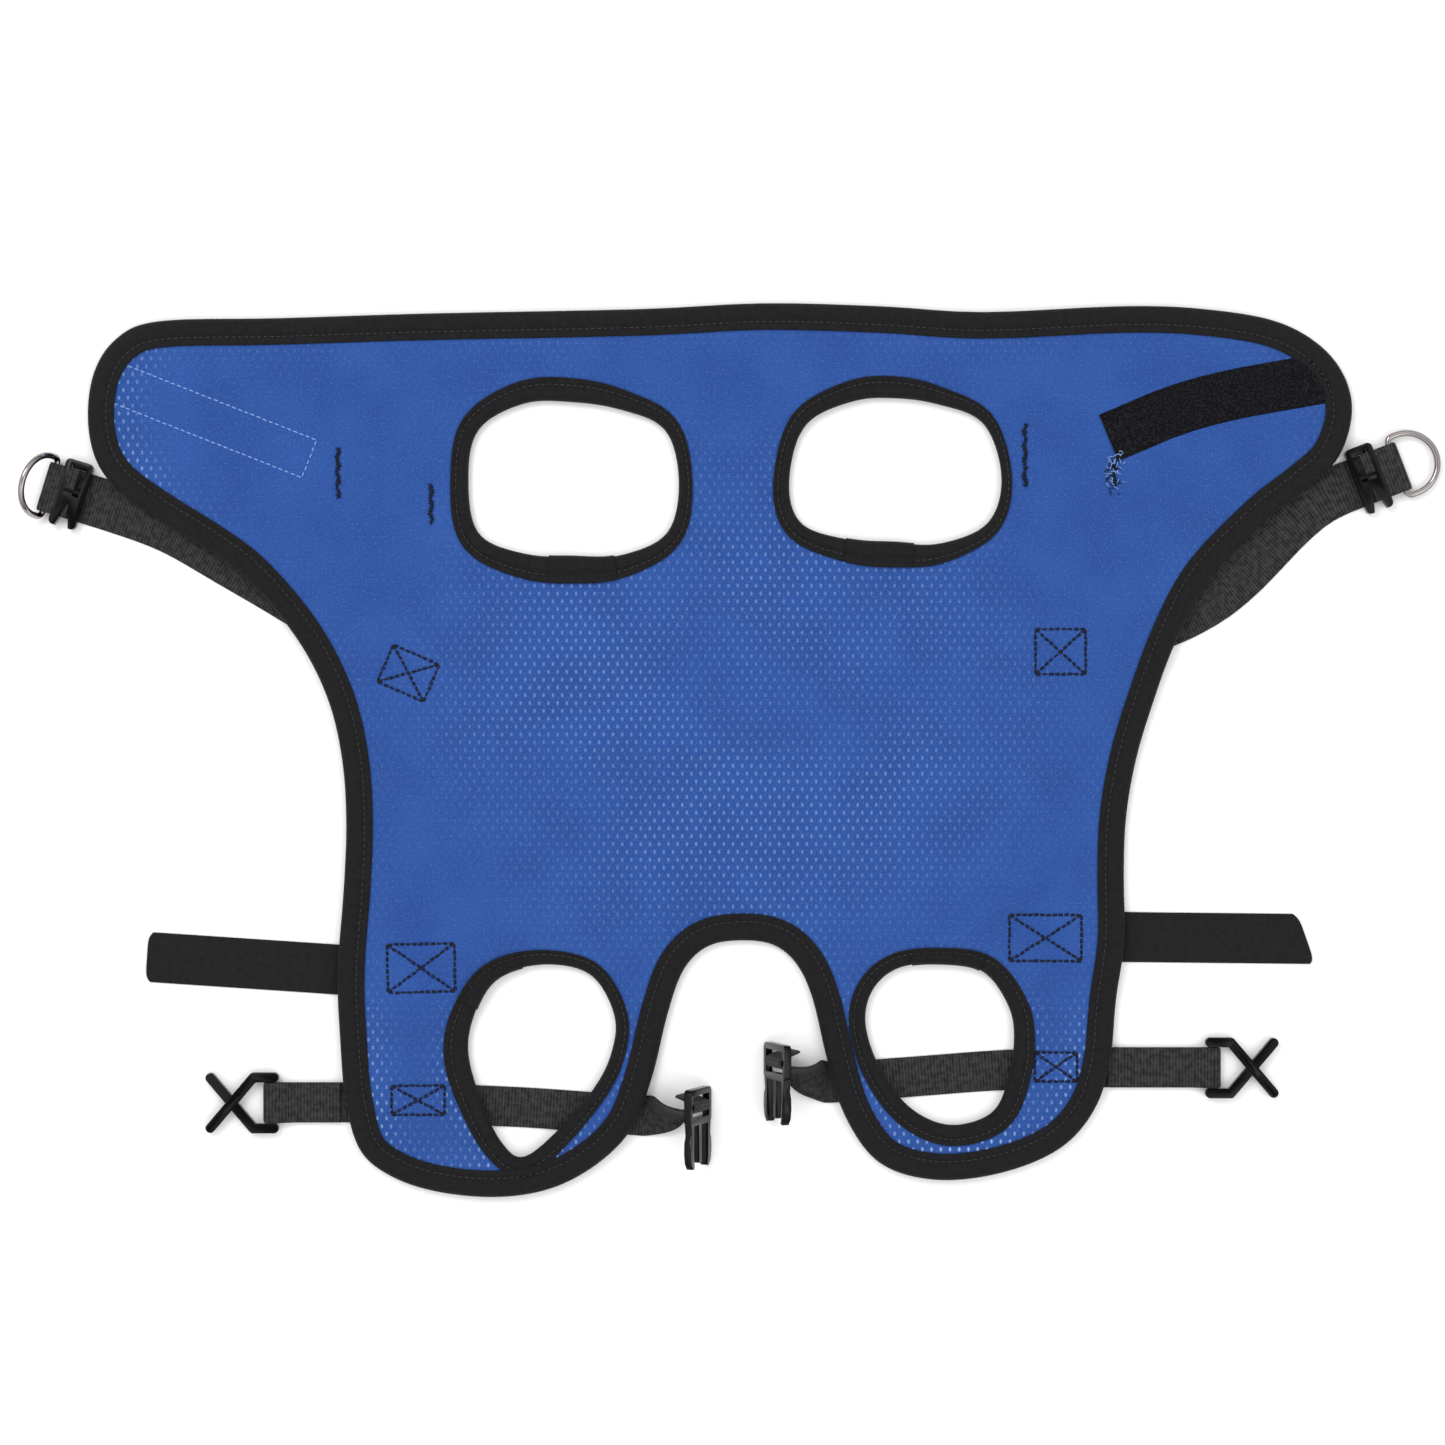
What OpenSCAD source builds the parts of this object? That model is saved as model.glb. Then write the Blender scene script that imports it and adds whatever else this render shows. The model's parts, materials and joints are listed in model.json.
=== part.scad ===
// Full-body lifting harness, laid flat with its lining side up: a padded
// panel with four leg holes, two shoulder straps, two leg straps, two side
// tabs and their plastic and metal fittings.
// Frame: X runs across from wing to wing, Y from the rear lobes (-) to the
// neck edge (+), Z up. Z = 0 is the surface that the straps lie on.

/* [Panel] */
// Width of the panel from wing tip to wing tip
panel_w = 631; // [600:1:760]
// Length of the panel from the neck edge to the rear lobes
panel_h = 446; // [440:1:540]
// Thickness of the knitted lining
lining_t = 0.8; // [0.6:0.1:1.2]
// Thickness of the foam core
foam_t = 3; // [2:0.5:5]
// Thickness of the outer shell fabric
shell_t = 0.8; // [0.6:0.1:1.2]
// Width of the centre strip that the two halves fold up from
centre_strip_w = 20; // [16:1:24]
// Running gap left at every fold line
fold_gap = 0.3; // [0.2:0.1:0.6]

/* [Binding] */
// Thickness of the binding tape
binding_t = 0.8; // [0.6:0.1:1.2]
// How far the outer binding reaches in over the panel
edge_binding_w = 12; // [9:0.5:13]
// How far the leg hole bindings reach out over the panel
hole_binding_w = 6.5; // [5:0.5:7.5]

/* [Webbing] */
// Thickness of all the webbing
webbing_t = 1.5; // [1.2:0.1:1.8]
// Width of the shoulder straps
shoulder_strap_w = 25; // [20:1:25]
// Width of the leg straps
leg_strap_w = 20; // [16:1:20]
// Width of the side tabs
side_tab_w = 25; // [20:1:30]
// Free length of a side tab beyond its fold
side_tab_free_l = 92; // [60:1:120]
// Length of a side tab that lies sewn under the flank
side_tab_sewn_l = 64; // [45:1:66]
// Length of the left leg strap's end, from its fold to the hook's bar
leg_end_l_left = 28; // [26:1:60]
// Length of the right leg strap's end, from its fold to the hook's bar
leg_end_l_right = 46; // [26:1:60]
// Width of the hook and loop closure tapes
tape_w = 25; // [20:1:30]
// Thickness of the closure tapes
tape_t = 1.2; // [0.8:0.1:1.4]

/* [D-rings] */
// Diameter of the ring's wire
ring_wire_d = 3.2; // [2.6:0.1:4]
// Outside width of the D, along its bar
ring_w = 34; // [33:0.5:40]
// Depth of the D, from the bar's centre to the outside of the arc
ring_depth = 22; // [20:0.5:26]
// Bend radius at the two ends of the bar
ring_corner_r = 2.8; // [2:0.1:2.8]
// How far the left ring stands up from the floor
ring_tilt_left = 60; // [20:1:65]
// How far the right ring stands up from the floor
ring_tilt_right = 0; // [0:1:20]

/* [Strap sliders] */
// Length of a slider across the strap
slider_l = 34; // [33:0.5:38]
// Width of a slider along the strap
slider_w = 14; // [12:0.5:15]
// Thickness of a slider above the strap
slider_t = 4.5; // [3.5:0.1:6]
// Distance from the ring's bar to the left slider's middle
slider_back_left = 11.5; // [11.5:0.5:14]
// Distance from the ring's bar to the right slider's middle
slider_back_right = 15.5; // [12:0.5:18]

/* [Cross hooks] */
// Diameter of the hook's webbing bar
hook_bar_d = 3.2; // [2.8:0.1:4]
// Distance from the bar to the crossing of the arms
hook_cross = 19; // [16:0.5:22]
// Distance from the bar to the arm tips, along the strap
hook_reach = 32; // [28:0.5:36]
// Width of a hook arm
hook_arm_w = 4.8; // [4:0.1:5.4]
// Thickness of a hook arm
hook_arm_t = 4; // [3.4:0.1:5]

/* [Side-release buckles] */
// Width of the male buckle half
buckle_w = 27; // [25:0.5:30]
// Length of its webbing frame
buckle_frame_l = 18; // [17:0.5:20]
// Length of its prongs
buckle_prong_l = 21.5; // [18:0.5:25]
// Thickness of its frame
buckle_t = 3.6; // [3:0.1:4.5]
// Diameter of the bar that the webbing turns round
buckle_bar_d = 3; // [2.6:0.1:3.4]
// How steeply a buckle stands on its edge
buckle_tilt = 68; // [60:1:75]

/* [Hidden] */

$fn = 48;
eps = 0.01;
turning_gap = 0.3;   // webbing loop to the bar inside it
lying_gap = 0.3;     // strap to the panel above it

// The sewing pattern is drawn on a 631 x 446 grid and stretched to size.
pattern_w = 631;
pattern_h = 446;
function at(p) = [p[0] * panel_w / pattern_w, p[1] * panel_h / pattern_h];

// Layers, from the floor up
panel_z = webbing_t + lying_gap;
shell_z = panel_z + binding_t;
foam_z = shell_z + shell_t;
lining_z = foam_z + foam_t;
top_z = lining_z + lining_t;
panel_t = top_z - shell_z;

// Colours
BLUE = "royalblue";
BLACK = [0.13, 0.13, 0.14];
WEB = [0.17, 0.17, 0.18];
PLASTIC = [0.08, 0.08, 0.09];
STEEL = [0.8, 0.78, 0.77];

// ---- curves ----
// A point between b and c on the smooth curve through a, b, c and d.
function curve_point(a, b, c, d, t) =
    0.5 * (2 * b + (c - a) * t + (2 * a - 5 * b + 4 * c - d) * t * t
    + (3 * b - a - 3 * c + d) * t * t * t);

// A closed smooth curve through the points p.
function closed_curve(p, steps) = let (n = len(p)) [
    for (i = [0 : n - 1], k = [0 : steps - 1])
        curve_point(p[(i + n - 1) % n], p[i], p[(i + 1) % n], p[(i + 2) % n], k / steps)
];

// An open smooth curve through the points p.
function open_curve(p, steps) = let (
    n = len(p),
    q = concat([2 * p[0] - p[1]], p, [2 * p[n - 1] - p[n - 2]])) [
    for (i = [0 : n - 2], k = [0 : (i == n - 2 ? steps : steps - 1)])
        curve_point(q[i], q[i + 1], q[i + 2], q[i + 3], k / steps)
];

// Unit vector across the path q at its point i.
function across(q, i) = let (n = len(q), d = q[min(i + 1, n - 1)] - q[max(i - 1, 0)])
    [-d[1], d[0]] / norm(d);

function heading(d) = [cos(d), sin(d)];

// ---- the sewing pattern ----
outline = [
    [-287, 214], [-227, 215.5], [-147, 218], [-47, 220], [14, 223], [74, 221.5],
    [125, 218.5], [194, 221.5], [236, 220], [274, 213], [299, 196], [309, 172],
    [302, 146], [284, 129], [266, 115], [237, 85], [221, 55], [210, 25],
    [201, -5], [196, -35], [195, -65], [195, -95], [191, -125], [188, -155],
    [180, -180], [163, -199], [134, -211], [101, -214.5], [73, -206], [56, -183],
    [47, -155], [40, -125], [32, -107], [20, -97], [3, -95], [-13, -98],
    [-25, -110], [-33, -133], [-40, -162], [-50, -188], [-67, -206], [-90, -218.5],
    [-117, -223], [-147, -220.5], [-170, -213], [-186, -200], [-193, -175], [-196, -145],
    [-197, -110], [-194, -65], [-193, -35], [-195, -5], [-202, 25], [-217, 55],
    [-241, 84], [-262, 100], [-286, 115], [-307, 130], [-318, 145], [-322, 165],
    [-319, 188], [-308, 205]
];
front_hole_left = [
    [-132, 135], [-127, 160], [-104, 173], [-80, 173.5], [-57, 170], [-34, 160],
    [-27, 134], [-33, 108], [-57, 97], [-80, 96.5], [-104, 98], [-127, 108]
];
front_hole_right = [
    [28, 134], [36, 162], [60, 174], [81, 175.5], [102, 172.5], [125, 163],
    [134, 136], [127, 113], [103, 103], [81, 103.5], [58, 105], [34, 113]
];
rear_hole_left = [
    [-132, -152], [-129, -132], [-118, -114], [-95, -107], [-71, -112], [-59, -133],
    [-61, -152], [-69, -168], [-84, -186], [-104, -203], [-115, -196], [-124, -178]
];
rear_hole_right = [
    [66, -136], [70, -119], [83, -108.5], [104, -106.5], [125, -110.5], [138, -129],
    [140, -146], [137, -164], [129, -181], [108, -187], [88, -178], [73, -158]
];

// Shoulder straps: box stitch, then out under the wing to the ring
ring_bar_left = at([-318, 145]) + [-23, -14];
ring_bar_right = at([309, 172]) + [22.5, -31];
strap_dir_left = 163;
strap_dir_right = 21;
function straight_run(bar, dir) = [for (back = [30, 20, 10, 0]) bar - back * heading(dir)];
shoulder_path_left = concat(
    [at([-151, 31]), at([-195, 60]), at([-229, 81]), at([-255, 96]), at([-281, 111])],
    straight_run(ring_bar_left, strap_dir_left));
shoulder_path_right = concat(
    [
        at([152, 46]), at([192, 56]), at([222, 66]), at([246, 80]), at([261, 94]),
        at([273, 108]), at([286, 121])
    ],
    straight_run(ring_bar_right, strap_dir_right));

// Leg straps: from the fold near the flank, under the rear lobe, to its inner edge
leg_fold_left = at([-196, -176]) - [7, 0];
leg_fold_right = at([187, -158.5]) + [7, 0];
leg_path_left = [
    leg_fold_left + [fold_gap, 0], at([-157, -176.5]), at([-106, -178.5]),
    at([-70, -181]), at([-46, -183]) + [3, 0]
];
leg_path_right = [
    leg_fold_right - [fold_gap, 0], at([164, -159]), at([133, -160]),
    at([93, -163]), at([49, -166.5]) - [3, 0]
];

// Side tabs: box stitch under the flank, then out past the fold
tab_fold_left = at([-197, -109.5]) - [4, 0];
tab_fold_right = at([195, -93.5]) + [4, 0];
tab_drop_left = -3.8;
tab_drop_right = 0.6;

// Buckle bars, on the mirrored left-hand side for both
buckle_bar_left = at([-46, -183]) + [28.5, 6.5];
buckle_bar_right = at([-49, -166.5]) + [27, 12];
buckle_bar_y = buckle_frame_l / 2;
buckle_bar_z = buckle_w / 2 * sin(buckle_tilt) + buckle_t / 2 * cos(buckle_tilt) + 0.4;

// Sizes that follow from the ones above
ring_r = ring_wire_d / 2;
loop_in_r = ring_r + turning_gap;
loop_out_r = loop_in_r + webbing_t;
hook_loop_in_r = hook_bar_d / 2 + turning_gap;
hook_loop_out_r = hook_loop_in_r + webbing_t;
buckle_loop_in_r = buckle_bar_d / 2 + turning_gap;
buckle_loop_out_r = buckle_loop_in_r + 1.2;
ring_bend_r = (ring_w - ring_wire_d) / 2;

// ---- flat shapes ----
module panel_outline() { polygon([for (p = closed_curve(outline, 4)) at(p)]); }

module hole_outline(points) { polygon([for (p = closed_curve(points, 4)) at(p)]); }

module all_holes() {
    for (h = [front_hole_left, front_hole_right, rear_hole_left, rear_hole_right])
        offset(r = binding_t) hole_outline(h);
}

// The strip of the plane that holds one part of the panel: -1 left, 0 centre, 1 right.
module side_strip(side) {
    reach = 2 * panel_w;
    half = centre_strip_w / 2;
    if (side == 0)
        translate([-half + fold_gap / 2, -reach / 2]) square([centre_strip_w - fold_gap, reach]);
    else
        translate([side > 0 ? half + fold_gap / 2 : -half - fold_gap / 2 - reach, -reach / 2])
            square([reach, reach]);
}

// One layer of one part of the panel.
module panel_layer(side, z, t) {
    translate([0, 0, z]) linear_extrude(t) difference() {
        intersection() {
            offset(delta = -binding_t) panel_outline();
            side_strip(side);
        }
        all_holes();
    }
}

// The outer binding of one part: a channel folded over the panel's edge.
module edge_binding(side) {
    color(BLACK) difference() {
        translate([0, 0, panel_z]) linear_extrude(panel_t + 2 * binding_t) intersection() {
            difference() {
                panel_outline();
                offset(delta = -edge_binding_w) panel_outline();
            }
            side_strip(side);
        }
        translate([0, 0, shell_z]) linear_extrude(panel_t) offset(delta = -binding_t) panel_outline();
    }
}

// A leg hole's binding: a channel folded over the hole's edge.
module hole_binding(points) {
    color(BLACK) difference() {
        translate([0, 0, panel_z]) linear_extrude(panel_t + 2 * binding_t) difference() {
            offset(r = hole_binding_w) hole_outline(points);
            hole_outline(points);
        }
        translate([0, 0, shell_z]) linear_extrude(panel_t) difference() {
            offset(r = hole_binding_w + 1) hole_outline(points);
            offset(r = binding_t) hole_outline(points);
        }
    }
}

// A flat ribbon of width w along the path q.
module ribbon_2d(q, w) {
    n = len(q);
    polygon(concat(
        [for (i = [0 : n - 1]) q[i] + across(q, i) * w / 2],
        [for (i = [n - 1 : -1 : 0]) q[i] - across(q, i) * w / 2]));
}

module ribbon(path, w, z, t) {
    translate([0, 0, z]) linear_extrude(t) ribbon_2d(open_curve(path, 4), w);
}

// ---- panel ----
module lining(side) { color(BLUE) panel_layer(side, lining_z, lining_t); }

module foam(side) { color([0.3, 0.3, 0.32]) panel_layer(side, foam_z, foam_t); }

module shell(side) { color(BLACK) panel_layer(side, shell_z, shell_t); }

// The soft tape on the right wing, on top of the lining and up to the binding.
module loop_tape() {
    path = [for (p = [[190, 156], [214, 167], [240, 175], [270, 181], [312, 188]]) at(p)];
    color([0.05, 0.05, 0.06]) translate([0, 0, top_z]) linear_extrude(tape_t) intersection() {
        ribbon_2d(open_curve(path, 4), tape_w);
        offset(delta = -edge_binding_w - 0.4) panel_outline();
    }
}

// The hooked tape sewn under the left wing.
module hook_tape() {
    color([0.05, 0.05, 0.06]) translate([0, 0, shell_z - tape_t]) linear_extrude(tape_t) intersection() {
        ribbon_2d([at([-312, 185]), at([-209, 144])], tape_w);
        offset(delta = -edge_binding_w - 0.4) panel_outline();
    }
}

// The seam of the hooked tape, which shows on the lining.
module hook_tape_stitching() {
    path = [at([-301, 180.5]), at([-211, 145])];
    color("mediumblue") translate([0, 0, top_z]) linear_extrude(0.3) difference() {
        ribbon_2d(path, tape_w - 5);
        offset(delta = -0.7) ribbon_2d(path, tape_w - 5);
    }
}

// ---- webbing ----
// A loop of webbing round a bar along Y at height z, with its strap going -X.
module bar_loop(in_r, out_r, w, z) {
    translate([0, 0, z]) rotate([90, 0, 0]) difference() {
        cylinder(r = out_r, h = w, center = true);
        cylinder(r = in_r, h = w + 1, center = true);
    }
}

// A shoulder strap: a flat ribbon that ends in a loop round the ring's bar.
module shoulder_strap(path, bar, dir) {
    color(WEB) {
        difference() {
            ribbon(path, shoulder_strap_w, 0, webbing_t);
            translate([bar[0], bar[1], loop_out_r]) rotate([0, 0, dir]) rotate([90, 0, 0])
                cylinder(r = loop_in_r, h = 2 * shoulder_strap_w, center = true);
        }
        translate([bar[0], bar[1], 0]) rotate([0, 0, dir])
            bar_loop(loop_in_r, loop_out_r, shoulder_strap_w, loop_out_r);
    }
}

// The short webbing keeper sewn to the outer face between two bar tacks.
module outer_keeper(from, to) {
    color(WEB) ribbon([at(from), at(to)], 20, panel_z - 0.2, binding_t + 0.2);
}

// The sewn end of a side tab, under the flank.
module side_tab_base(fold, drop, side) {
    inner = fold - side * side_tab_sewn_l * heading(-drop * side);
    color(WEB) ribbon([inner, fold - side * [fold_gap, 0]], side_tab_w, 0, webbing_t);
}

// The free end of a side tab.
module side_tab(fold, drop, side) {
    color(WEB) translate([fold[0], fold[1], 0]) rotate([0, 0, -drop * side])
        linear_extrude(webbing_t) offset(r = 1.5) offset(delta = -1.5)
            translate([side > 0 ? 0 : -side_tab_free_l, -side_tab_w / 2])
                square([side_tab_free_l, side_tab_w]);
}

// The part of a leg strap that lies under the rear lobe.
module leg_strap(path) { color(WEB) ribbon(path, leg_strap_w, 0, webbing_t); }

// A leg strap's outer end: two layers, looped round the hook's bar at -X.
module leg_strap_end(l) {
    upper_z = webbing_t + 0.2;
    top = 2 * hook_loop_out_r;
    color(WEB) {
        translate([-l, 0, 0]) bar_loop(hook_loop_in_r, hook_loop_out_r, leg_strap_w, hook_loop_out_r);
        difference() {
            rotate([90, 0, 0]) linear_extrude(leg_strap_w, center = true) {
                translate([-l, 0]) square([l, webbing_t]);
                polygon([
                    [-l, top], [-l, top - webbing_t], [-l + 12, upper_z], [-7, upper_z],
                    [-7, upper_z + webbing_t], [-l + 12, upper_z + webbing_t]
                ]);
            }
            translate([-l, 0, hook_loop_out_r]) rotate([90, 0, 0])
                cylinder(r = hook_loop_in_r, h = 2 * leg_strap_w, center = true);
        }
    }
}

// Corners of a ribbon's cross-section at centre c, with width and thickness vectors.
function section(c, w, t) = [c - w - t, c + w - t, c + w + t, c - w + t];

// A ribbon that turns from flat to standing, or leans between two attitudes.
// sections is a list of four-cornered cross-sections. Both broad faces are cut
// on the same diagonal, so that a twisted ribbon keeps its thickness.
module lofted(sections) {
    n = len(sections);
    last = 4 * n - 4;
    polyhedron(
        points = [for (s = sections, p = s) p],
        faces = concat(
            [[0, 1, 2], [0, 2, 3]],
            [for (i = [0 : n - 2], k = [0 : 3], half = [0, 1]) let (
                a = 4 * i + k,
                b = 4 * i + (k + 1) % 4)
                k < 2 ? (half == 0 ? [a, a + 4, b + 4] : [a, b + 4, b])
                    : (half == 0 ? [a, a + 4, b] : [b, a + 4, b + 4])],
            [[last + 2, last + 1, last], [last + 3, last + 2, last]]));
}

// The buckle bar's direction, and the direction that its webbing is led in from.
bar_dir = [-cos(buckle_tilt), 0, sin(buckle_tilt)];
lead_dir = [sin(buckle_tilt), 0, cos(buckle_tilt)];
loop_webbing_t = buckle_loop_out_r - buckle_loop_in_r;

// A stretch of the leg strap from c0 to c1. Its width turns from turn0 to
// turn1 degrees above level and leans over with the buckle by lean0 to lean1.
module turning_webbing(c0, c1, turn0, turn1, lean0, lean1, half_w, steps) {
    color(WEB) lofted([for (i = [0 : steps]) let (
        f = i / steps,
        turn = turn0 + (turn1 - turn0) * f,
        lean = lean0 + (lean1 - lean0) * f,
        rise = turn1 > turn0 ? sin(90 * f) : f,
        c = [c0[0] + (c1[0] - c0[0]) * f, c0[1] + (c1[1] - c0[1]) * f, c0[2] + (c1[2] - c0[2]) * rise],
        w = [bar_dir[0] * lean, cos(turn), sin(turn)])
        section(c, half_w * w / norm(w), loop_webbing_t / 2 * [0, -sin(turn), cos(turn)])]);
}

// The leg strap's inner end, which twists from flat to the buckle's tilt.
module leg_strap_twist(start, bar) {
    centre = [bar[0], bar[1], buckle_bar_z];
    turning_webbing([start[0], start[1], webbing_t / 2], centre - (buckle_loop_out_r - 0.3) * lead_dir,
        0, 90, 0, 1, leg_strap_w / 2, 10);
}

// The webbing's loop round the buckle's bar.
module leg_strap_loop(bar) {
    color(WEB) translate([bar[0], bar[1], buckle_bar_z])
        rotate([0, buckle_tilt, 0]) rotate([0, 90, 0]) difference() {
            cylinder(r = buckle_loop_out_r, h = leg_strap_w, center = true);
            cylinder(r = buckle_loop_in_r, h = leg_strap_w + 1, center = true);
        }
}

// The webbing's sewn tail, which leans out of the loop.
module leg_strap_tail(bar) {
    start = [bar[0], bar[1] + 1.7, buckle_bar_z] - (buckle_loop_out_r - 0.6) * lead_dir;
    turning_webbing(start, start + [-10, 5, 3], 90, 40, 1, 0, 1 - leg_strap_w / 2, 5);
}

// ---- fittings ----
// A bent wire D with its bar along Y through the origin and its arc to +X.
module d_ring() {
    leg_x = ring_depth - ring_r - ring_bend_r;
    corner_y = ring_bend_r - ring_corner_r;
    color(STEEL) {
        rotate([90, 0, 0]) cylinder(r = ring_r, h = 2 * corner_y, center = true);
        translate([leg_x, 0, 0]) rotate([0, 0, -90])
            rotate_extrude(angle = 180) translate([ring_bend_r, 0]) circle(r = ring_r);
        for (s = [-1, 1]) {
            translate([ring_corner_r, s * ring_bend_r, 0]) rotate([0, 90, 0])
                cylinder(r = ring_r, h = leg_x - ring_corner_r);
            translate([ring_corner_r, s * corner_y, 0]) rotate([0, 0, s > 0 ? 90 : 180])
                rotate_extrude(angle = 90) translate([ring_corner_r, 0]) circle(r = ring_r);
        }
    }
}

module d_ring_at(bar, dir, tilt) {
    translate([bar[0], bar[1], loop_out_r]) rotate([0, 0, dir]) rotate([0, -tilt, 0]) d_ring();
}

// A strap slider: a plate with an upper window, a middle slot and open legs,
// and two cheeks that guide the webbing under it. Y runs across the strap.
module slider() {
    plate_z = webbing_t + 0.4;
    cheek_y = shoulder_strap_w / 2 + 0.4;
    half_l = slider_l / 2;
    color(PLASTIC) {
        translate([0, 0, plate_z]) linear_extrude(slider_t) difference() {
            offset(r = 2.5) offset(delta = -2.5) square([slider_w, slider_l], center = true);
            translate([-slider_w / 2 + 2.6, 2.2]) square([slider_w - 5.2, half_l - 5]);
            translate([-slider_w / 2 + 3, -1]) square([slider_w - 6, 1.6]);
            polygon([[-slider_w / 2 + 3.2, -half_l - 1], [0, -4], [slider_w / 2 - 3.2, -half_l - 1]]);
        }
        for (s = [-1, 1])
            translate([s > 0 ? -slider_w / 2 + 3 : -slider_w / 2 + 1, s > 0 ? cheek_y : -half_l + 0.6, 0.3])
                cube([s > 0 ? slider_w - 6 : 2, half_l - cheek_y - 0.6, plate_z - 0.3 + eps]);
        translate([slider_w / 2 - 3, -half_l + 0.6, 0.3])
            cube([2, half_l - cheek_y - 0.6, plate_z - 0.3 + eps]);
    }
}

module slider_at(bar, dir, back) {
    translate([bar[0], bar[1], 0]) rotate([0, 0, dir]) translate([-back, 0, 0])
        mirror([0, dir > 90 ? 1 : 0, 0]) slider();
}

// A straight round-ended arm between p and q.
module arm_2d(p, q, w) {
    d = q - p;
    translate(p) {
        circle(d = w);
        rotate([0, 0, atan2(d[1], d[0])]) translate([0, -w / 2]) square([norm(d), w]);
    }
    translate(q) circle(d = w);
}

// The X-shaped hook: its bar is along Y, and its two arms cross and reach to -X.
module cross_hook() {
    corner = [-8.2, leg_strap_w / 2 + hook_arm_w / 2 + 0.3];
    beyond = (hook_reach - hook_arm_w / 2 - hook_cross) / (hook_cross + corner[0]);
    tip = [hook_arm_w / 2 - hook_reach, -corner[1] * beyond];
    cross = [-hook_cross, 0];
    color(PLASTIC) {
        difference() {
            translate([0, 0, -hook_arm_t / 2]) linear_extrude(hook_arm_t) for (s = [1, -1]) scale([1, s]) {
                arm_2d([hook_bar_d / 2 + 0.4, corner[1]], corner, hook_arm_w);
                arm_2d(corner, tip, hook_arm_w);
            }
            translate([0, 0, hook_arm_t / 2 - 0.9]) linear_extrude(2) {
                arm_2d(cross + (tip - cross) * 0.35, tip, hook_arm_w * 0.4);
                arm_2d(corner + (cross - corner) * 0.1, corner + (cross - corner) * 0.7, hook_arm_w * 0.4);
            }
        }
        rotate([90, 0, 0]) cylinder(d = hook_bar_d, h = 2 * corner[1], center = true);
    }
}

// The male half of a side-release buckle. The webbing bar is along X through
// the origin and the prongs point to +Y.
module buckle() {
    half_w = buckle_w / 2;
    end_y = -buckle_bar_y;
    prong_y = end_y + buckle_frame_l;
    tip_y = prong_y + buckle_prong_l;
    slot_w = leg_strap_w + 1.2;
    color(PLASTIC) {
        translate([0, 0, -buckle_t / 2]) linear_extrude(buckle_t) difference() {
            translate([0, end_y + buckle_frame_l / 2]) offset(r = 3) offset(delta = -3)
                square([buckle_w, buckle_frame_l], center = true);
            translate([-slot_w / 2, end_y + 3.2]) square([slot_w, 11.2]);
        }
        rotate([0, 90, 0]) cylinder(d = buckle_bar_d, h = slot_w + 1, center = true);
        translate([0, 0, -buckle_t / 2]) linear_extrude(buckle_t) for (s = [-1, 1]) scale([s, 1])
            polygon([
                [half_w - 4.5, prong_y - 2], [half_w - 0.8, prong_y - 2], [half_w - 1.8, prong_y + 5],
                [half_w - 0.4, prong_y + 8], [half_w, tip_y - 8], [half_w - 1, tip_y - 3],
                [half_w - 3.5, tip_y], [half_w - 5.5, tip_y - 0.6], [half_w - 4.2, tip_y - 6]
            ]);
        translate([0, 0, -buckle_t / 2 + 0.4]) linear_extrude(buckle_t - 0.8)
            arm_2d([0, prong_y - 2], [0, tip_y - 4], 3.4);
    }
}

module buckle_at(bar) {
    translate([bar[0], bar[1], buckle_bar_z]) rotate([0, buckle_tilt, 0]) rotate([0, 0, 180]) buckle();
}

// ---- stitching ----
thread = 0.7;

// A box stitch with a cross inside it, w along X and h along Y.
module box_stitch(centre, w, h, turn) {
    p = at(centre);
    translate([p[0], p[1], top_z]) rotate([0, 0, turn]) linear_extrude(0.4) {
        difference() {
            square([w, h], center = true);
            square([w - 2 * thread, h - 2 * thread], center = true);
        }
        for (s = [-1, 1])
            rotate([0, 0, s * atan2(h, w)]) square([norm([w, h]) - 2 * thread, thread], center = true);
    }
}

module box_stitching_left() {
    color(PLASTIC) {
        box_stitch([-161.6, 38.3], 25, 20, -23.5);
        box_stitch([-155.3, -108.5], 33.5, 24, 1);
        box_stitch([-156.8, -174.3], 26.5, 14.5, 0);
    }
}

module box_stitching_right() {
    color(PLASTIC) {
        box_stitch([163, 49], 25, 22.5, 0);
        box_stitch([155.5, -93.5], 36, 23, 0);
        box_stitch([160.8, -157.8], 21, 14.5, 0);
    }
}

// A bar tack: one thick row of thread from p to q.
module bar_tack(p, q) {
    color(PLASTIC) translate([0, 0, top_z]) linear_extrude(0.5) arm_2d(at(p), at(q), 1.1);
}

module bar_tacks_left() {
    bar_tack([-194.5, 150], [-199, 126]);
    bar_tack([-150.5, 132], [-150.5, 113]);
}

module bar_tacks_right() {
    bar_tack([145.5, 162], [145.5, 132]);
    bar_tack([190, 143], [190, 132]);
}

// ---- assembly ----
lining(0);  // lining_centre
lining(-1);  // lining_left
lining(1);  // lining_right
foam(0);  // foam_centre
foam(-1);  // foam_left
foam(1);  // foam_right
shell(0);  // shell_centre
shell(-1);  // shell_left
shell(1);  // shell_right
edge_binding(0);  // edge_binding_centre
edge_binding(-1);  // edge_binding_left
edge_binding(1);  // edge_binding_right
hole_binding(front_hole_left);  // front_hole_binding_left
hole_binding(front_hole_right);  // front_hole_binding_right
hole_binding(rear_hole_left);  // rear_hole_binding_left
hole_binding(rear_hole_right);  // rear_hole_binding_right
loop_tape();
hook_tape();
hook_tape_stitching();
shoulder_strap(shoulder_path_left, ring_bar_left, strap_dir_left);  // shoulder_strap_left
shoulder_strap(shoulder_path_right, ring_bar_right, strap_dir_right);  // shoulder_strap_right
outer_keeper([-199, 146], [-152, 123]);  // outer_keeper_left
outer_keeper([147, 147], [193, 143]);  // outer_keeper_right
side_tab_base(tab_fold_left, tab_drop_left, -1);  // side_tab_base_left
side_tab_base(tab_fold_right, tab_drop_right, 1);  // side_tab_base_right
side_tab(tab_fold_left, tab_drop_left, -1);  // side_tab_left
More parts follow.
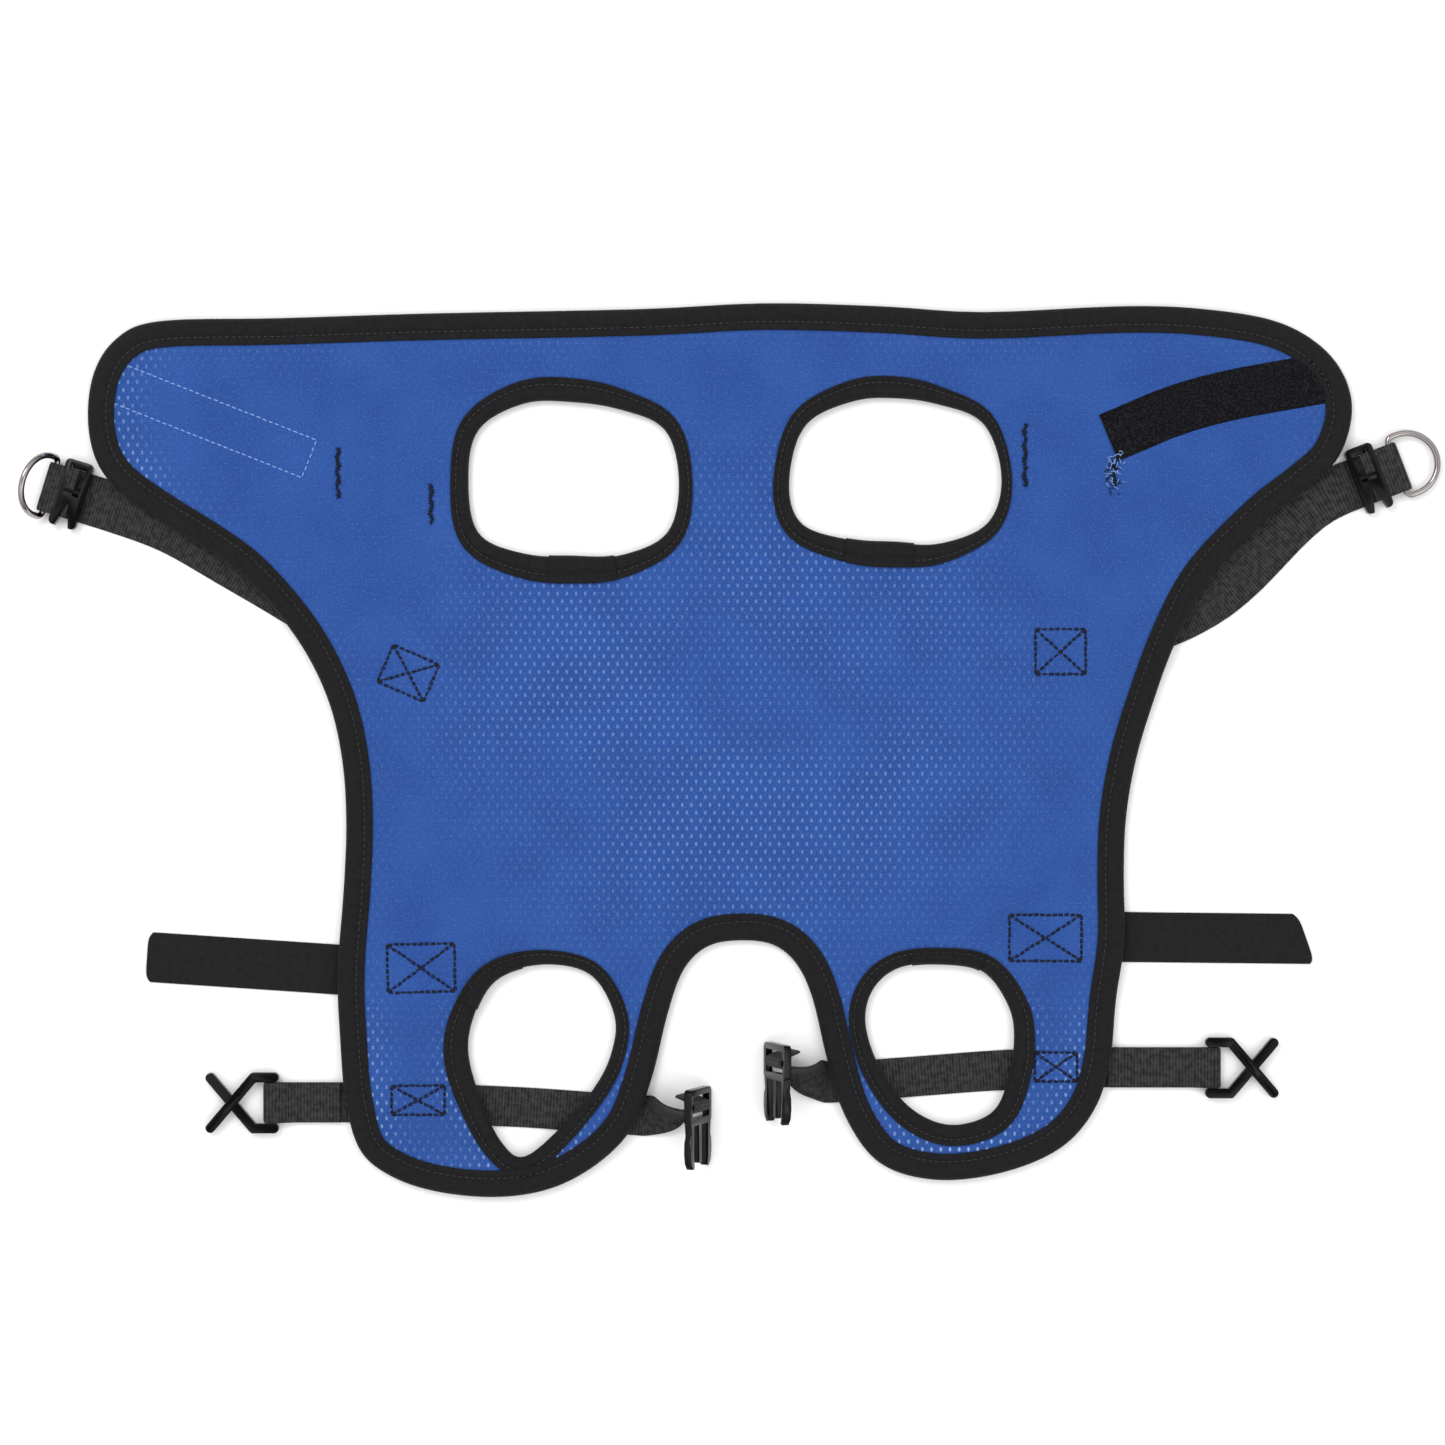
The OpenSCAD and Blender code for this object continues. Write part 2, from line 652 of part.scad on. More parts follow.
side_tab(tab_fold_right, tab_drop_right, 1);  // side_tab_right
leg_strap(leg_path_left);  // leg_strap_left
leg_strap(leg_path_right);  // leg_strap_right
leg_strap_twist(leg_path_left[4], buckle_bar_left);  // leg_strap_twist_left
mirror([1, 0, 0]) leg_strap_twist([-leg_path_right[4][0], leg_path_right[4][1]], buckle_bar_right);  // leg_strap_twist_right
leg_strap_loop(buckle_bar_left);  // leg_strap_loop_left
mirror([1, 0, 0]) leg_strap_loop(buckle_bar_right);  // leg_strap_loop_right
leg_strap_tail(buckle_bar_left);  // leg_strap_tail_left
mirror([1, 0, 0]) leg_strap_tail(buckle_bar_right);  // leg_strap_tail_right
translate([leg_fold_left[0], leg_fold_left[1], 0]) leg_strap_end(leg_end_l_left);  // leg_strap_end_left
translate([leg_fold_right[0], leg_fold_right[1], 0]) mirror([1, 0, 0]) leg_strap_end(leg_end_l_right);  // leg_strap_end_right
translate([leg_fold_left[0] - leg_end_l_left, leg_fold_left[1], hook_loop_out_r]) cross_hook();  // cross_hook_left
translate([leg_fold_right[0] + leg_end_l_right, leg_fold_right[1], hook_loop_out_r])  // cross_hook_right
        mirror([1, 0, 0]) cross_hook();
slider_at(ring_bar_left, strap_dir_left, slider_back_left);  // slider_left
slider_at(ring_bar_right, strap_dir_right, slider_back_right);  // slider_right
d_ring_at(ring_bar_left, strap_dir_left, ring_tilt_left);  // d_ring_left
d_ring_at(ring_bar_right, strap_dir_right, ring_tilt_right);  // d_ring_right
buckle_at(buckle_bar_left);  // buckle_left
mirror([1, 0, 0]) buckle_at(buckle_bar_right);  // buckle_right
box_stitching_left();
box_stitching_right();
bar_tacks_left();
bar_tacks_right();
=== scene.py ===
# %% [markdown]
# # A full-body lifting harness, laid flat
#
# The harness is a soft padded panel with a blue knitted lining, black tape folded round every edge, webbing
# straps sewn underneath, and a few plastic and metal fittings. The CAD frame already says where everything
# is and how it moves. This lesson builds the looks round that frame: cloth that swells between its seams,
# tape with real stitches, ribbed webbing, and fittings with soft moulded edges.
#
# Everything is in metres, in the CAD frame: X runs from wing to wing, Y towards the neck edge, Z up.

# %% Load the frame and remember the CAD box
import json
import math

import bmesh
import bpy
import numpy as np
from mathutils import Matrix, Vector
from mathutils.geometry import delaunay_2d_cdt


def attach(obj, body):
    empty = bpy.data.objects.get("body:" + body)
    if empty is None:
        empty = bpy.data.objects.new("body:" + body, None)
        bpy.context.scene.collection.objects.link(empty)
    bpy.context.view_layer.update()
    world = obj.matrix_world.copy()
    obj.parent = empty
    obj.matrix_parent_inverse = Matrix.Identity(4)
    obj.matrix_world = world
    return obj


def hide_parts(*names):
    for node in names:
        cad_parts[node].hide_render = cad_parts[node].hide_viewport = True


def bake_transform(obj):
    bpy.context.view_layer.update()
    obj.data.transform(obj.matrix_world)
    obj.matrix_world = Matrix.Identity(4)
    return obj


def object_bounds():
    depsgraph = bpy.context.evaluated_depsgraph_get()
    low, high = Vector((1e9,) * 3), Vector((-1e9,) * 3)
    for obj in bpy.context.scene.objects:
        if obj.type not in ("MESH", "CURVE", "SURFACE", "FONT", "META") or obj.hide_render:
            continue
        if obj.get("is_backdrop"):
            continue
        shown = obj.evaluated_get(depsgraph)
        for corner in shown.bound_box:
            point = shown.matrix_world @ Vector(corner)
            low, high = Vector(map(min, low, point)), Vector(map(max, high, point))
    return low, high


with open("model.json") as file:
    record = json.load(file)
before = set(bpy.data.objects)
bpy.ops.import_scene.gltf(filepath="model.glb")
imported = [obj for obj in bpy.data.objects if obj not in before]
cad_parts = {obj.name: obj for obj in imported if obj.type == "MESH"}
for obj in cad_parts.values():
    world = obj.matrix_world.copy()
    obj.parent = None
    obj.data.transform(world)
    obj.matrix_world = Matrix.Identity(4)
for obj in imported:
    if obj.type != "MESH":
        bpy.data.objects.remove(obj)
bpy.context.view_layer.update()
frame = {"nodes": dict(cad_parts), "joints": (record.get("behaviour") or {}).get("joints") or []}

MM = 0.001
SIDES = ("left", "right")
OUTWARD = {"left": -1, "right": 1}
joints = {joint["name"]: joint for joint in frame["joints"]}

# %% [markdown]
# ## Tools for surfaces
#
# Most pieces here are one grid of points: rows run along the piece and columns run round its section. One
# function turns such a grid into a mesh, gives it a UV map in real metres, and closes its ends. The UV map
# matters for cloth: a weave drawn on it stays the same size everywhere and bends with the cloth.

# %% Turn grids of points into meshes
def running_length(line, closed=False):
    """Distance run along a line of points: 0 at its first point, plus each step's length."""
    ring = np.concatenate([line, line[:1]]) if closed else line
    steps = np.linalg.norm(np.diff(ring, axis=0), axis=1)
    return np.concatenate([[0.0], np.cumsum(steps)])


def unit(vectors):
    """Each vector divided by its own length."""
    return vectors / np.linalg.norm(vectors, axis=-1, keepdims=True)


def add_piece(name, points, faces, corner_uv=None):
    """A smooth mesh object at the origin. Faces are turned round if the closed shape's volume is negative."""
    first, last = faces[:, 0], faces[:, -1]
    fan = [(first, faces[:, k], faces[:, k + 1]) for k in range(1, faces.shape[1] - 1)]
    volume = sum((points[a] * np.cross(points[b], points[c])).sum() for a, b, c in fan) / 6
    if volume < 0:
        faces = faces[:, ::-1]
        corner_uv = None if corner_uv is None else corner_uv[:, ::-1]
    mesh = bpy.data.meshes.new(name)
    mesh.from_pydata(points, [], faces)
    if corner_uv is not None:
        mesh.uv_layers.new(name="cloth").data.foreach_set("uv", corner_uv.astype(np.float32).ravel())
    mesh.shade_smooth()
    piece = bpy.data.objects.new(name, mesh)
    bpy.context.scene.collection.objects.link(piece)
    return piece


def add_grid(name, grid, closed_rows=False, ends=True):
    """A tube-like mesh: rows of points whose sections are closed rings, with UV = (run along, run round).

    grid has the shape (rows, columns, 3). closed_rows joins the last row to the first. Otherwise each end is
    closed by one more column-wide row, drawn in to the middle of the end ring.
    """
    if ends and not closed_rows:
        grid = np.concatenate([grid[:1] * 0 + grid[:1].mean(axis=1, keepdims=True), grid,
                               grid[-1:] * 0 + grid[-1:].mean(axis=1, keepdims=True)])
    rows, columns = grid.shape[:2]
    i, j = np.meshgrid(np.arange(rows - (not closed_rows)), np.arange(columns), indexing="ij")
    i = np.stack([i, i, i + 1, i + 1], axis=-1).reshape(-1, 4)
    j = np.stack([j, j + 1, j + 1, j], axis=-1).reshape(-1, 4)
    along = running_length(grid[:, 0], closed_rows)
    around = running_length(grid[rows // 2], closed=True)
    piece = add_piece(name, grid.reshape(-1, 3), (i % rows) * columns + j % columns,
                      np.stack([along[i], around[j]], axis=-1))
    if ends and not closed_rows:
        weld(piece)
    return piece


def weld(piece, distance=1e-7):
    """Merges points that lie on each other, such as the drawn-in end of a tube."""
    shape = bmesh.new()
    shape.from_mesh(piece.data)
    bmesh.ops.remove_doubles(shape, verts=shape.verts, dist=distance)
    shape.to_mesh(piece.data)
    shape.free()


# %% [markdown]
# ## The outlines
#
# The sewing pattern is in the CAD layers, so it isn't drawn again. The upper face of a layer is a patch of
# triangles, and an edge that only one triangle uses lies on a rim. Blender's own mesh-to-curve conversion
# strings those edges together in order. The strung rim is then spaced evenly and softened a little, because
# the CAD rim is made of short straight lines and cloth has no corners.

# %% Read rims from flat CAD layers
def face_rims(node, lower=False):
    """Rims of a flat layer's upper (or lower) face, each an array of x, y in running order."""
    mesh = frame["nodes"][node].data
    points = np.empty(3 * len(mesh.vertices))
    mesh.vertices.foreach_get("co", points)
    mesh.calc_loop_triangles()
    corners = np.empty(3 * len(mesh.loop_triangles), int)
    mesh.loop_triangles.foreach_get("vertices", corners)
    points, number = np.unique(points.reshape(-1, 3).round(6), axis=0, return_inverse=True)
    triangles = number.ravel()[corners].reshape(-1, 3)
    level = points[:, 2].min() if lower else points[:, 2].max()
    flat = triangles[(np.abs(points[triangles, 2] - level) < 1e-5).all(axis=1)]
    edges = np.sort(np.concatenate([flat[:, [0, 1]], flat[:, [1, 2]], flat[:, [2, 0]]]), axis=1)
    edges, uses = np.unique(edges, axis=0, return_counts=True)
    return strung(points, edges[uses == 1])


def strung(points, edges):
    """Edges strung into lines by converting a wire mesh to a curve."""
    wire = bpy.data.objects.new("wire", bpy.data.meshes.new("wire"))
    wire.data.from_pydata(points, edges, [])
    bpy.context.scene.collection.objects.link(wire)
    bpy.ops.object.select_all(action="DESELECT")
    bpy.context.view_layer.objects.active = wire
    wire.select_set(True)
    bpy.ops.object.convert(target="CURVE")
    lines = []
    for spline in wire.data.splines:
        flat = np.empty(4 * len(spline.points))
        spline.points.foreach_get("co", flat)
        lines.append(flat.reshape(-1, 4)[:, :2])
    bpy.data.objects.remove(wire)
    return lines


def spaced(line, count, closed=False):
    """The same line with count points at even distances along it."""
    run = running_length(line, closed)
    line = np.concatenate([line, line[:1]]) if closed else line
    at = np.linspace(0, run[-1], count, endpoint=not closed)
    return np.stack([np.interp(at, run, line[:, k]) for k in range(line.shape[1])], axis=-1)


def softened(ring, width):
    """A closed line blurred along itself by a bell curve: its Fourier terms fade with their frequency."""
    step = running_length(ring, closed=True)[-1] / len(ring)
    turns = np.fft.fftfreq(len(ring), step)[:, None]
    return np.fft.ifft(np.fft.fft(ring, axis=0) * np.exp(-2 * (math.pi * width * turns) ** 2), axis=0).real


def inward_normals(ring):
    """Unit vectors across a closed line, pointing to its inside: the direction turned by a quarter."""
    ahead = unit(np.roll(ring, -1, axis=0) - np.roll(ring, 1, axis=0))
    x, y = ring.T
    anticlockwise = (x * np.roll(y, -1) - y * np.roll(x, -1)).sum() > 0
    return np.stack([-ahead[:, 1], ahead[:, 0]], axis=-1) * (1 if anticlockwise else -1)


# %% Join the three parts of the pattern into one outline
TAPE_T = 0.8 * MM          # binding tape's thickness
RIM_STEP = 1.3 * MM        # distance between two points of a rim


def half_rim(side):
    """One half's rim from the neck edge round to the crotch, without the straight cut beside the centre."""
    outer = max(face_rims("lining_" + side), key=lambda rim: np.ptp(rim[:, 0]))
    on_cut = np.abs(np.abs(outer[:, 0]) - np.abs(outer[:, 0]).min()) < 1e-5
    before_gap = np.flatnonzero(on_cut & np.roll(on_cut, -1))[0]
    rim = np.roll(outer, -(before_gap + 1), axis=0)
    return rim if rim[0, 1] > rim[-1, 1] else rim[::-1]


def centre_rim(top):
    """The short edge of the centre strip at the neck or at the crotch, from right to left."""
    rim = face_rims("lining_centre")[0]
    end = rim[rim[:, 1] > 0] if top else rim[rim[:, 1] < 0]
    return end[np.argsort(-end[:, 0])]


outline = np.concatenate([centre_rim(True), half_rim("left"), centre_rim(False)[::-1],
                          half_rim("right")[::-1]])
outline = spaced(outline, int(running_length(outline, closed=True)[-1] / RIM_STEP), closed=True)
outline = softened(outline, 2.5 * MM)
outline_in = inward_normals(outline)
outline = outline - outline_in * TAPE_T
print("outline:", len(outline), "points,", round(running_length(outline, True)[-1], 3), "m round")


# %% Cut the outline on the centre line, and read the leg holes
def half_outline(side):
    """One half of the outline and its inward normals, from the neck edge's middle to the crotch's middle."""
    crossing = np.flatnonzero(outline[:, 0] * np.roll(outline[:, 0], -1) < 0)
    neck, crotch = sorted(crossing, key=lambda i: -outline[i, 1])
    mine = lambda i: outline[i % len(outline), 0] * OUTWARD[side] > 0
    step = 1 if mine(neck + 1) else -1
    start, end = (neck + 1, crotch) if step == 1 else (neck, crotch + 1)
    count = (end - start) * step % len(outline) + 1
    pick = (start + step * np.arange(count)) % len(outline)

    def middle(i):
        a, b = outline[i], outline[(i + 1) % len(outline)]
        share = a[0] / (a[0] - b[0])
        return a + (b - a) * share, outline_in[i]

    (first, first_in), (last, last_in) = middle(neck), middle(crotch)
    rim = np.concatenate([[first], outline[pick], [last]])
    inward = np.concatenate([[first_in * [0, 1]], outline_in[pick], [last_in * [0, 1]]])
    return rim, unit(inward)


def hole_rim(node):
    """A leg hole's rim and the normals that point out of the hole, over the panel."""
    rim = min(face_rims(node), key=lambda ring: np.ptp(ring[:, 0]))
    rim = softened(spaced(rim, int(running_length(rim, True)[-1] / RIM_STEP), closed=True), 2 * MM)
    return rim, -inward_normals(rim)


halves = {side: half_outline(side) for side in SIDES}
HOLES = [f"{end}_hole_binding_{side}" for side in SIDES for end in ("front", "rear")]
hole_rims = {node: hole_rim(node) for node in HOLES}
for node, (rim, _) in hole_rims.items():
    print(node, "hole", np.ptp(rim, axis=0).round(4), "m")


# %% [markdown]
# ## Where the straps run
#
# The webbing lies on the floor, partly under the panel, and the panel rides up over it. Both need the
# middle line of each strap. A flat strap's lower face is a long narrow patch, so its middle at any x is
# halfway between the patch's two long sides.

# %% Middle lines of the straps
WEBBING_T = 1.5 * MM
SHOULDER_W, LEG_W, TAB_W = 25 * MM, 20 * MM, 25 * MM
STRAP_TRIM = 14 * MM       # how much of a slanted strap's end the middle line leaves out


def middle_line(node, count=24, trim=STRAP_TRIM):
    """Points midway between a strap's two long sides, evenly spread in x, and none near its square ends."""
    rim = max(face_rims(node, lower=True), key=lambda ring: np.ptp(ring[:, 0]))
    x = np.linspace(rim[:, 0].min() + trim, rim[:, 0].max() - trim, count)
    a, b = rim, np.roll(rim, -1, axis=0)
    with np.errstate(divide="ignore", invalid="ignore"):
        share = (x[:, None] - a[:, 0]) / (b[:, 0] - a[:, 0])
        y = a[:, 1] + share * (b[:, 1] - a[:, 1])
    crossed = (share >= 0) & (share <= 1)
    low = np.where(crossed, y, np.inf).min(axis=1)
    high = np.where(crossed, y, -np.inf).max(axis=1)
    return np.stack([x, (low + high) / 2], axis=-1)


def joint_place(name):
    """A joint's position and axis in the frame, in metres."""
    return np.array(joints[name]["pos_m"]), np.array(joints[name]["axis"])


def ring_bar(side):
    """A ring's bar: its middle, the direction along it, and the level direction out of the harness."""
    middle, axis = joint_place(side + "_ring_swing")
    out = np.array([axis[1], -axis[0], 0.0])
    return middle, np.array([axis[0], axis[1], 0.0]), out * np.sign(out[0] * OUTWARD[side])


def inner_first(line):
    """The line turned so that it starts near the centre of the harness."""
    return line if abs(line[0, 0]) < abs(line[-1, 0]) else line[::-1]


def lengthened(line, before, after):
    """The line carried straight on at both ends."""
    first, last = unit(line[0] - line[1]), unit(line[-1] - line[-2])
    return np.concatenate([[line[0] + first * before], line, [line[-1] + last * after]])


shoulder_lines, leg_lines, tab_lines = {}, {}, {}
for side in SIDES:
    line = inner_first(middle_line("shoulder_strap_" + side))
    bar = joint_place(side + "_ring_swing")[0]
    tip = line[0] - unit(line[1] - line[0]) * STRAP_TRIM
    shoulder_lines[side] = np.concatenate([[tip], line, [bar[:2]]])
    leg_lines[side] = inner_first(lengthened(middle_line("leg_strap_" + side, 12, 12 * MM), 10 * MM, 10 * MM))
    tab_lines[side] = inner_first(middle_line("side_tab_base_" + side, 4, 2 * MM))
hook_tape_line = middle_line("hook_tape", 6, 10 * MM)
print("shoulder strap:", {side: round(running_length(shoulder_lines[side])[-1], 3) for side in SIDES}, "m")

# %% [markdown]
# ## How the panel lies
#
# Laid on a floor, the panel touches it almost everywhere, but it bulges where a strap lies under it. Its
# underside is a height map: a low base, slow waves that cloth keeps from being folded, and one smooth ridge
# for each strap. A ridge is flat on top and falls away on both sides as a bell curve, because the foam is
# too stiff to follow the strap's edge.

# %% The height map of the panel's underside
SHELL_T, FOAM_T, LINING_T = 0.8 * MM, 3.0 * MM, 0.8 * MM
REST_GAP = 0.95 * MM       # shell to floor where no strap lies: room for the tape folded under it
FLANK = 11 * MM            # how far a ridge's side runs out


def distance_to(line, x, y):
    """Distance in plan from points (x, y) to a line of straight pieces, as one array of points by pieces."""
    a, step = line[:-1], np.diff(line, axis=0)
    dx, dy = x[..., None] - a[:, 0], y[..., None] - a[:, 1]
    share = np.clip((dx * step[:, 0] + dy * step[:, 1]) / (step ** 2).sum(axis=1), 0, 1)
    return np.hypot(dx - share * step[:, 0], dy - share * step[:, 1]).min(axis=-1)


def bell(distance, width):
    """1 at no distance, falling smoothly to 0: exp(-(distance / width) squared)."""
    return np.exp(-(distance / width) ** 2)


def smooth_step(x, low, high):
    """0 below low, 1 above high, and 3t^2 - 2t^3 between them."""
    t = np.clip((x - low) / (high - low), 0, 1)
    return t * t * (3 - 2 * t)


STRAP_RISE, TAPE_RISE = 1.7 * MM, 0.9 * MM   # how high a strap and the hook tape lift the panel
strap_lines = ((shoulder_lines, SHOULDER_W), (leg_lines, LEG_W), (tab_lines, TAB_W))
RIDGES = [(lines[side], width / 2, STRAP_RISE) for lines, width in strap_lines for side in SIDES]
RIDGES += [(hook_tape_line, 11 * MM, TAPE_RISE)]


def slow_waves(x, y):
    """Three crossing sine waves, about 1 mm high in all, that fade out on the centre line."""
    waves = (np.sin(27 * x + 41 * y + 0.6) + 0.8 * np.sin(-38 * x + 23 * y + 2.1)
             + 0.6 * np.sin(62 * x + 9 * y + 4.0))
    return 0.5 * MM * (waves / 2.4 + 1) * smooth_step(np.abs(x), 0, 60 * MM)


def lie(x, y):
    """The shell's underside: base + waves + the fourth root of the ridges' fourth powers added up."""
    ridges = sum((height * bell(np.maximum(distance_to(line, x, y) - half, 0), FLANK)) ** 4
                 for line, half, height in RIDGES) ** 0.25
    return REST_GAP + slow_waves(x, y) + ridges


# %% [markdown]
# ## Seams in the panel
#
# The panel is thinnest where thread pulls it together: along the edge tape, under the box stitches that hold
# the straps, and at the bar tacks. Each seam is a list of straight runs, and the cloth sinks towards it by a
# narrow bell curve with a wider, shallower one round it, which is the pucker.

# %% Box stitches and bar tacks as runs of thread
def stitch_boxes(node):
    """Outer rims of a side's box stitches, which are the rims with four corners, from the neck down."""
    boxes = [rim for rim in face_rims(node) if len(rim) == 4]
    return sorted(boxes, key=lambda rim: -rim[:, 1].mean())


def in_turn(rim):
    """A box's four corners in order round its middle."""
    out = rim - rim.mean(axis=0)
    return rim[np.argsort(np.arctan2(out[:, 1], out[:, 0]))]


box_runs, tack_runs = {}, {}
for side in SIDES:
    box_runs[side] = []
    for rim in stitch_boxes("box_stitching_" + side):
        a, b, c, d = in_turn(rim)
        box_runs[side] += [np.array(run) for run in ((a, b), (b, c), (c, d), (d, a), (a, c), (b, d))]
    tack_runs[side] = [np.array([[rim[:, 0].mean(), rim[:, 1].min()], [rim[:, 0].mean(), rim[:, 1].max()]])
                       for rim in face_rims("bar_tacks_" + side)]
print("box stitch runs:", {side: len(runs) for side, runs in box_runs.items()})
print("tacks on the left:", len(tack_runs["left"]))

seam = max(face_rims("hook_tape_stitching"), key=lambda ring: np.ptp(ring[:, 0]))
UNDER_TAPE = 8 * MM        # how far the long rows of the closure seam run on below the edge tape
corners = np.array(in_turn(seam))
first = min(range(4), key=lambda k: corners[k, 0] + corners[(k + 1) % 4, 0])
outer_a, outer_b, inner_b, inner_a = np.roll(corners, -first, axis=0)
blue_runs = [np.array([inner_a, inner_b])]
for inner, outer in ((inner_a, outer_a), (inner_b, outer_b)):
    blue_runs.append(np.array([inner, outer + unit(outer - inner) * UNDER_TAPE]))

# %% Thickness of the padded panel
EDGE_W = 13.5 * MM         # how far the edge tape reaches in
SWELL = 0.7 * MM           # how much the foam swells away from the seams
PINCH = 0.8 * MM           # how deep thread pulls the lining
PRESSED = 0.9 * MM         # how much thinner the panel is under a tape


def rim_distance(points, rims):
    """Distance in plan from each point to the nearest point of any rim, in blocks to save memory."""
    rim = np.concatenate(rims)
    return np.concatenate([np.hypot(block[:, None, 0] - rim[:, 0], block[:, None, 1] - rim[:, 1]).min(axis=1)
                           for block in np.array_split(points, max(1, len(points) // 1500))])


def runs_distance(runs, x, y):
    """Distance in plan to the nearest of some straight runs of thread."""
    return np.min([distance_to(run, x, y) for run in runs], axis=0)


# Tape round each leg hole, in mm: its mean width, and how much wider it is to the right, up and on both sides
HOLE_TAPE = {
    "front_hole_binding_left": (10.2, -1.0, -0.9, -2.4),
    "front_hole_binding_right": (9.0, -1.5, -0.9, -2.6),
    "rear_hole_binding_left": (8.9, -2.6, -0.6, 0.7),
    "rear_hole_binding_right": (9.3, 0.8, -1.1, 0.2),
}


def hole_tape_width(node, x, y):
    """Width of a hole's tape: the mean, plus cosine and sine terms of the angle round the hole's middle."""
    mean, right, up, sideways = HOLE_TAPE[node]
    middle = hole_rims[node][0].mean(axis=0)
    angle = np.arctan2(y - middle[1], x - middle[0])
    return MM * (mean + right * np.cos(angle) + up * np.sin(angle) + sideways * np.cos(2 * angle))


def beyond_holes(points, side):
    """How far each point lies beyond the tape of the nearest leg hole, below 0 under the tape."""
    return np.min([rim_distance(points, [rim]) - hole_tape_width(node, *points.T)
                   for node, (rim, _) in hole_rims.items() if node.endswith(side)], axis=0)


def lining_height(points, from_edge, beyond_hole, side):
    """Height of the lining's upper face over the shell's underside.

    It is the three layers, less PRESSED under the tapes, plus the swell of the foam further in, less the
    pinch at each run of thread.
    """
    x, y = points.T
    under_tape = np.minimum(smooth_step(from_edge, EDGE_W - 3.5 * MM, EDGE_W + 0.5 * MM),
                            smooth_step(beyond_hole, -3.5 * MM, 0.5 * MM))
    inside = np.minimum(from_edge - EDGE_W, beyond_hole)
    swell = SWELL * (1 - bell(np.maximum(inside, 0), 10 * MM))
    thread = runs_distance(box_runs[side], x, y)
    tack = runs_distance(tack_runs[side], x, y)
    pinch = PINCH * (0.6 * bell(thread, 1.3 * MM) + 0.5 * bell(thread, 5 * MM)
                     + bell(tack, 1.6 * MM) + 0.6 * bell(tack, 9 * MM))
    if side == "left":
        blue = runs_distance(blue_runs, x, y)
        pinch = pinch + PINCH * (0.45 * bell(blue, 1.2 * MM) + 0.3 * bell(blue, 4 * MM))
    return SHELL_T + FOAM_T + LINING_T - PRESSED * (1 - under_tape) + swell - pinch


# %% [markdown]
# ## The padded panel
#
# Each half is a sheet with two leg holes, so it can't be one rectangular grid. Its plan is filled with
# triangles instead: points on the rims, a honeycomb of points inside, and a finer honeycomb near the thread,
# where the cloth puckers. Blender's constrained Delaunay function joins them. The three layers share one
# plan, and each is a closed slab between two height maps. The halves meet on the centre line, where the
# height map is level, so the join doesn't show.

# %% Fill a half's plan with triangles
LAYER_INSET = 1.2 * MM     # the layers end inside the folded tape
COARSE, FINE = 3.0 * MM, 1.15 * MM


def inside_of(ring, points):
    """Whether points are inside a closed ring: a line to the right crosses it an odd number of times."""
    a, b = ring, np.roll(ring, -1, axis=0)
    x, y = points[:, :1], points[:, 1:]
    with np.errstate(divide="ignore", invalid="ignore"):
        at = a[:, 0] + (y - a[:, 1]) * (b[:, 0] - a[:, 0]) / (b[:, 1] - a[:, 1])
    return (((a[:, 1] > y) != (b[:, 1] > y)) & (x < at)).sum(axis=1) % 2 == 1


def inside_blocks(ring, points):
    """inside_of in blocks, to save memory."""
    blocks = np.array_split(points, max(1, len(points) // 2000))
    return np.concatenate([inside_of(ring, block) for block in blocks])


def honeycomb(low, high, pitch):
    """Staggered rows of points over a rectangle: every other row is moved by half a pitch."""
    x, y = np.meshgrid(np.arange(low[0], high[0], pitch), np.arange(low[1], high[1], pitch * 0.866))
    x = x + (np.arange(x.shape[0]) % 2)[:, None] * pitch / 2
    return np.stack([x.ravel(), y.ravel()], axis=-1)


def double_areas(points, triangles):
    """Twice each triangle's area, below 0 where its corners run clockwise."""
    a, b, c = (points[triangles[:, k]] for k in range(3))
    return (b - a)[:, 0] * (c - a)[:, 1] - (b - a)[:, 1] * (c - a)[:, 0]


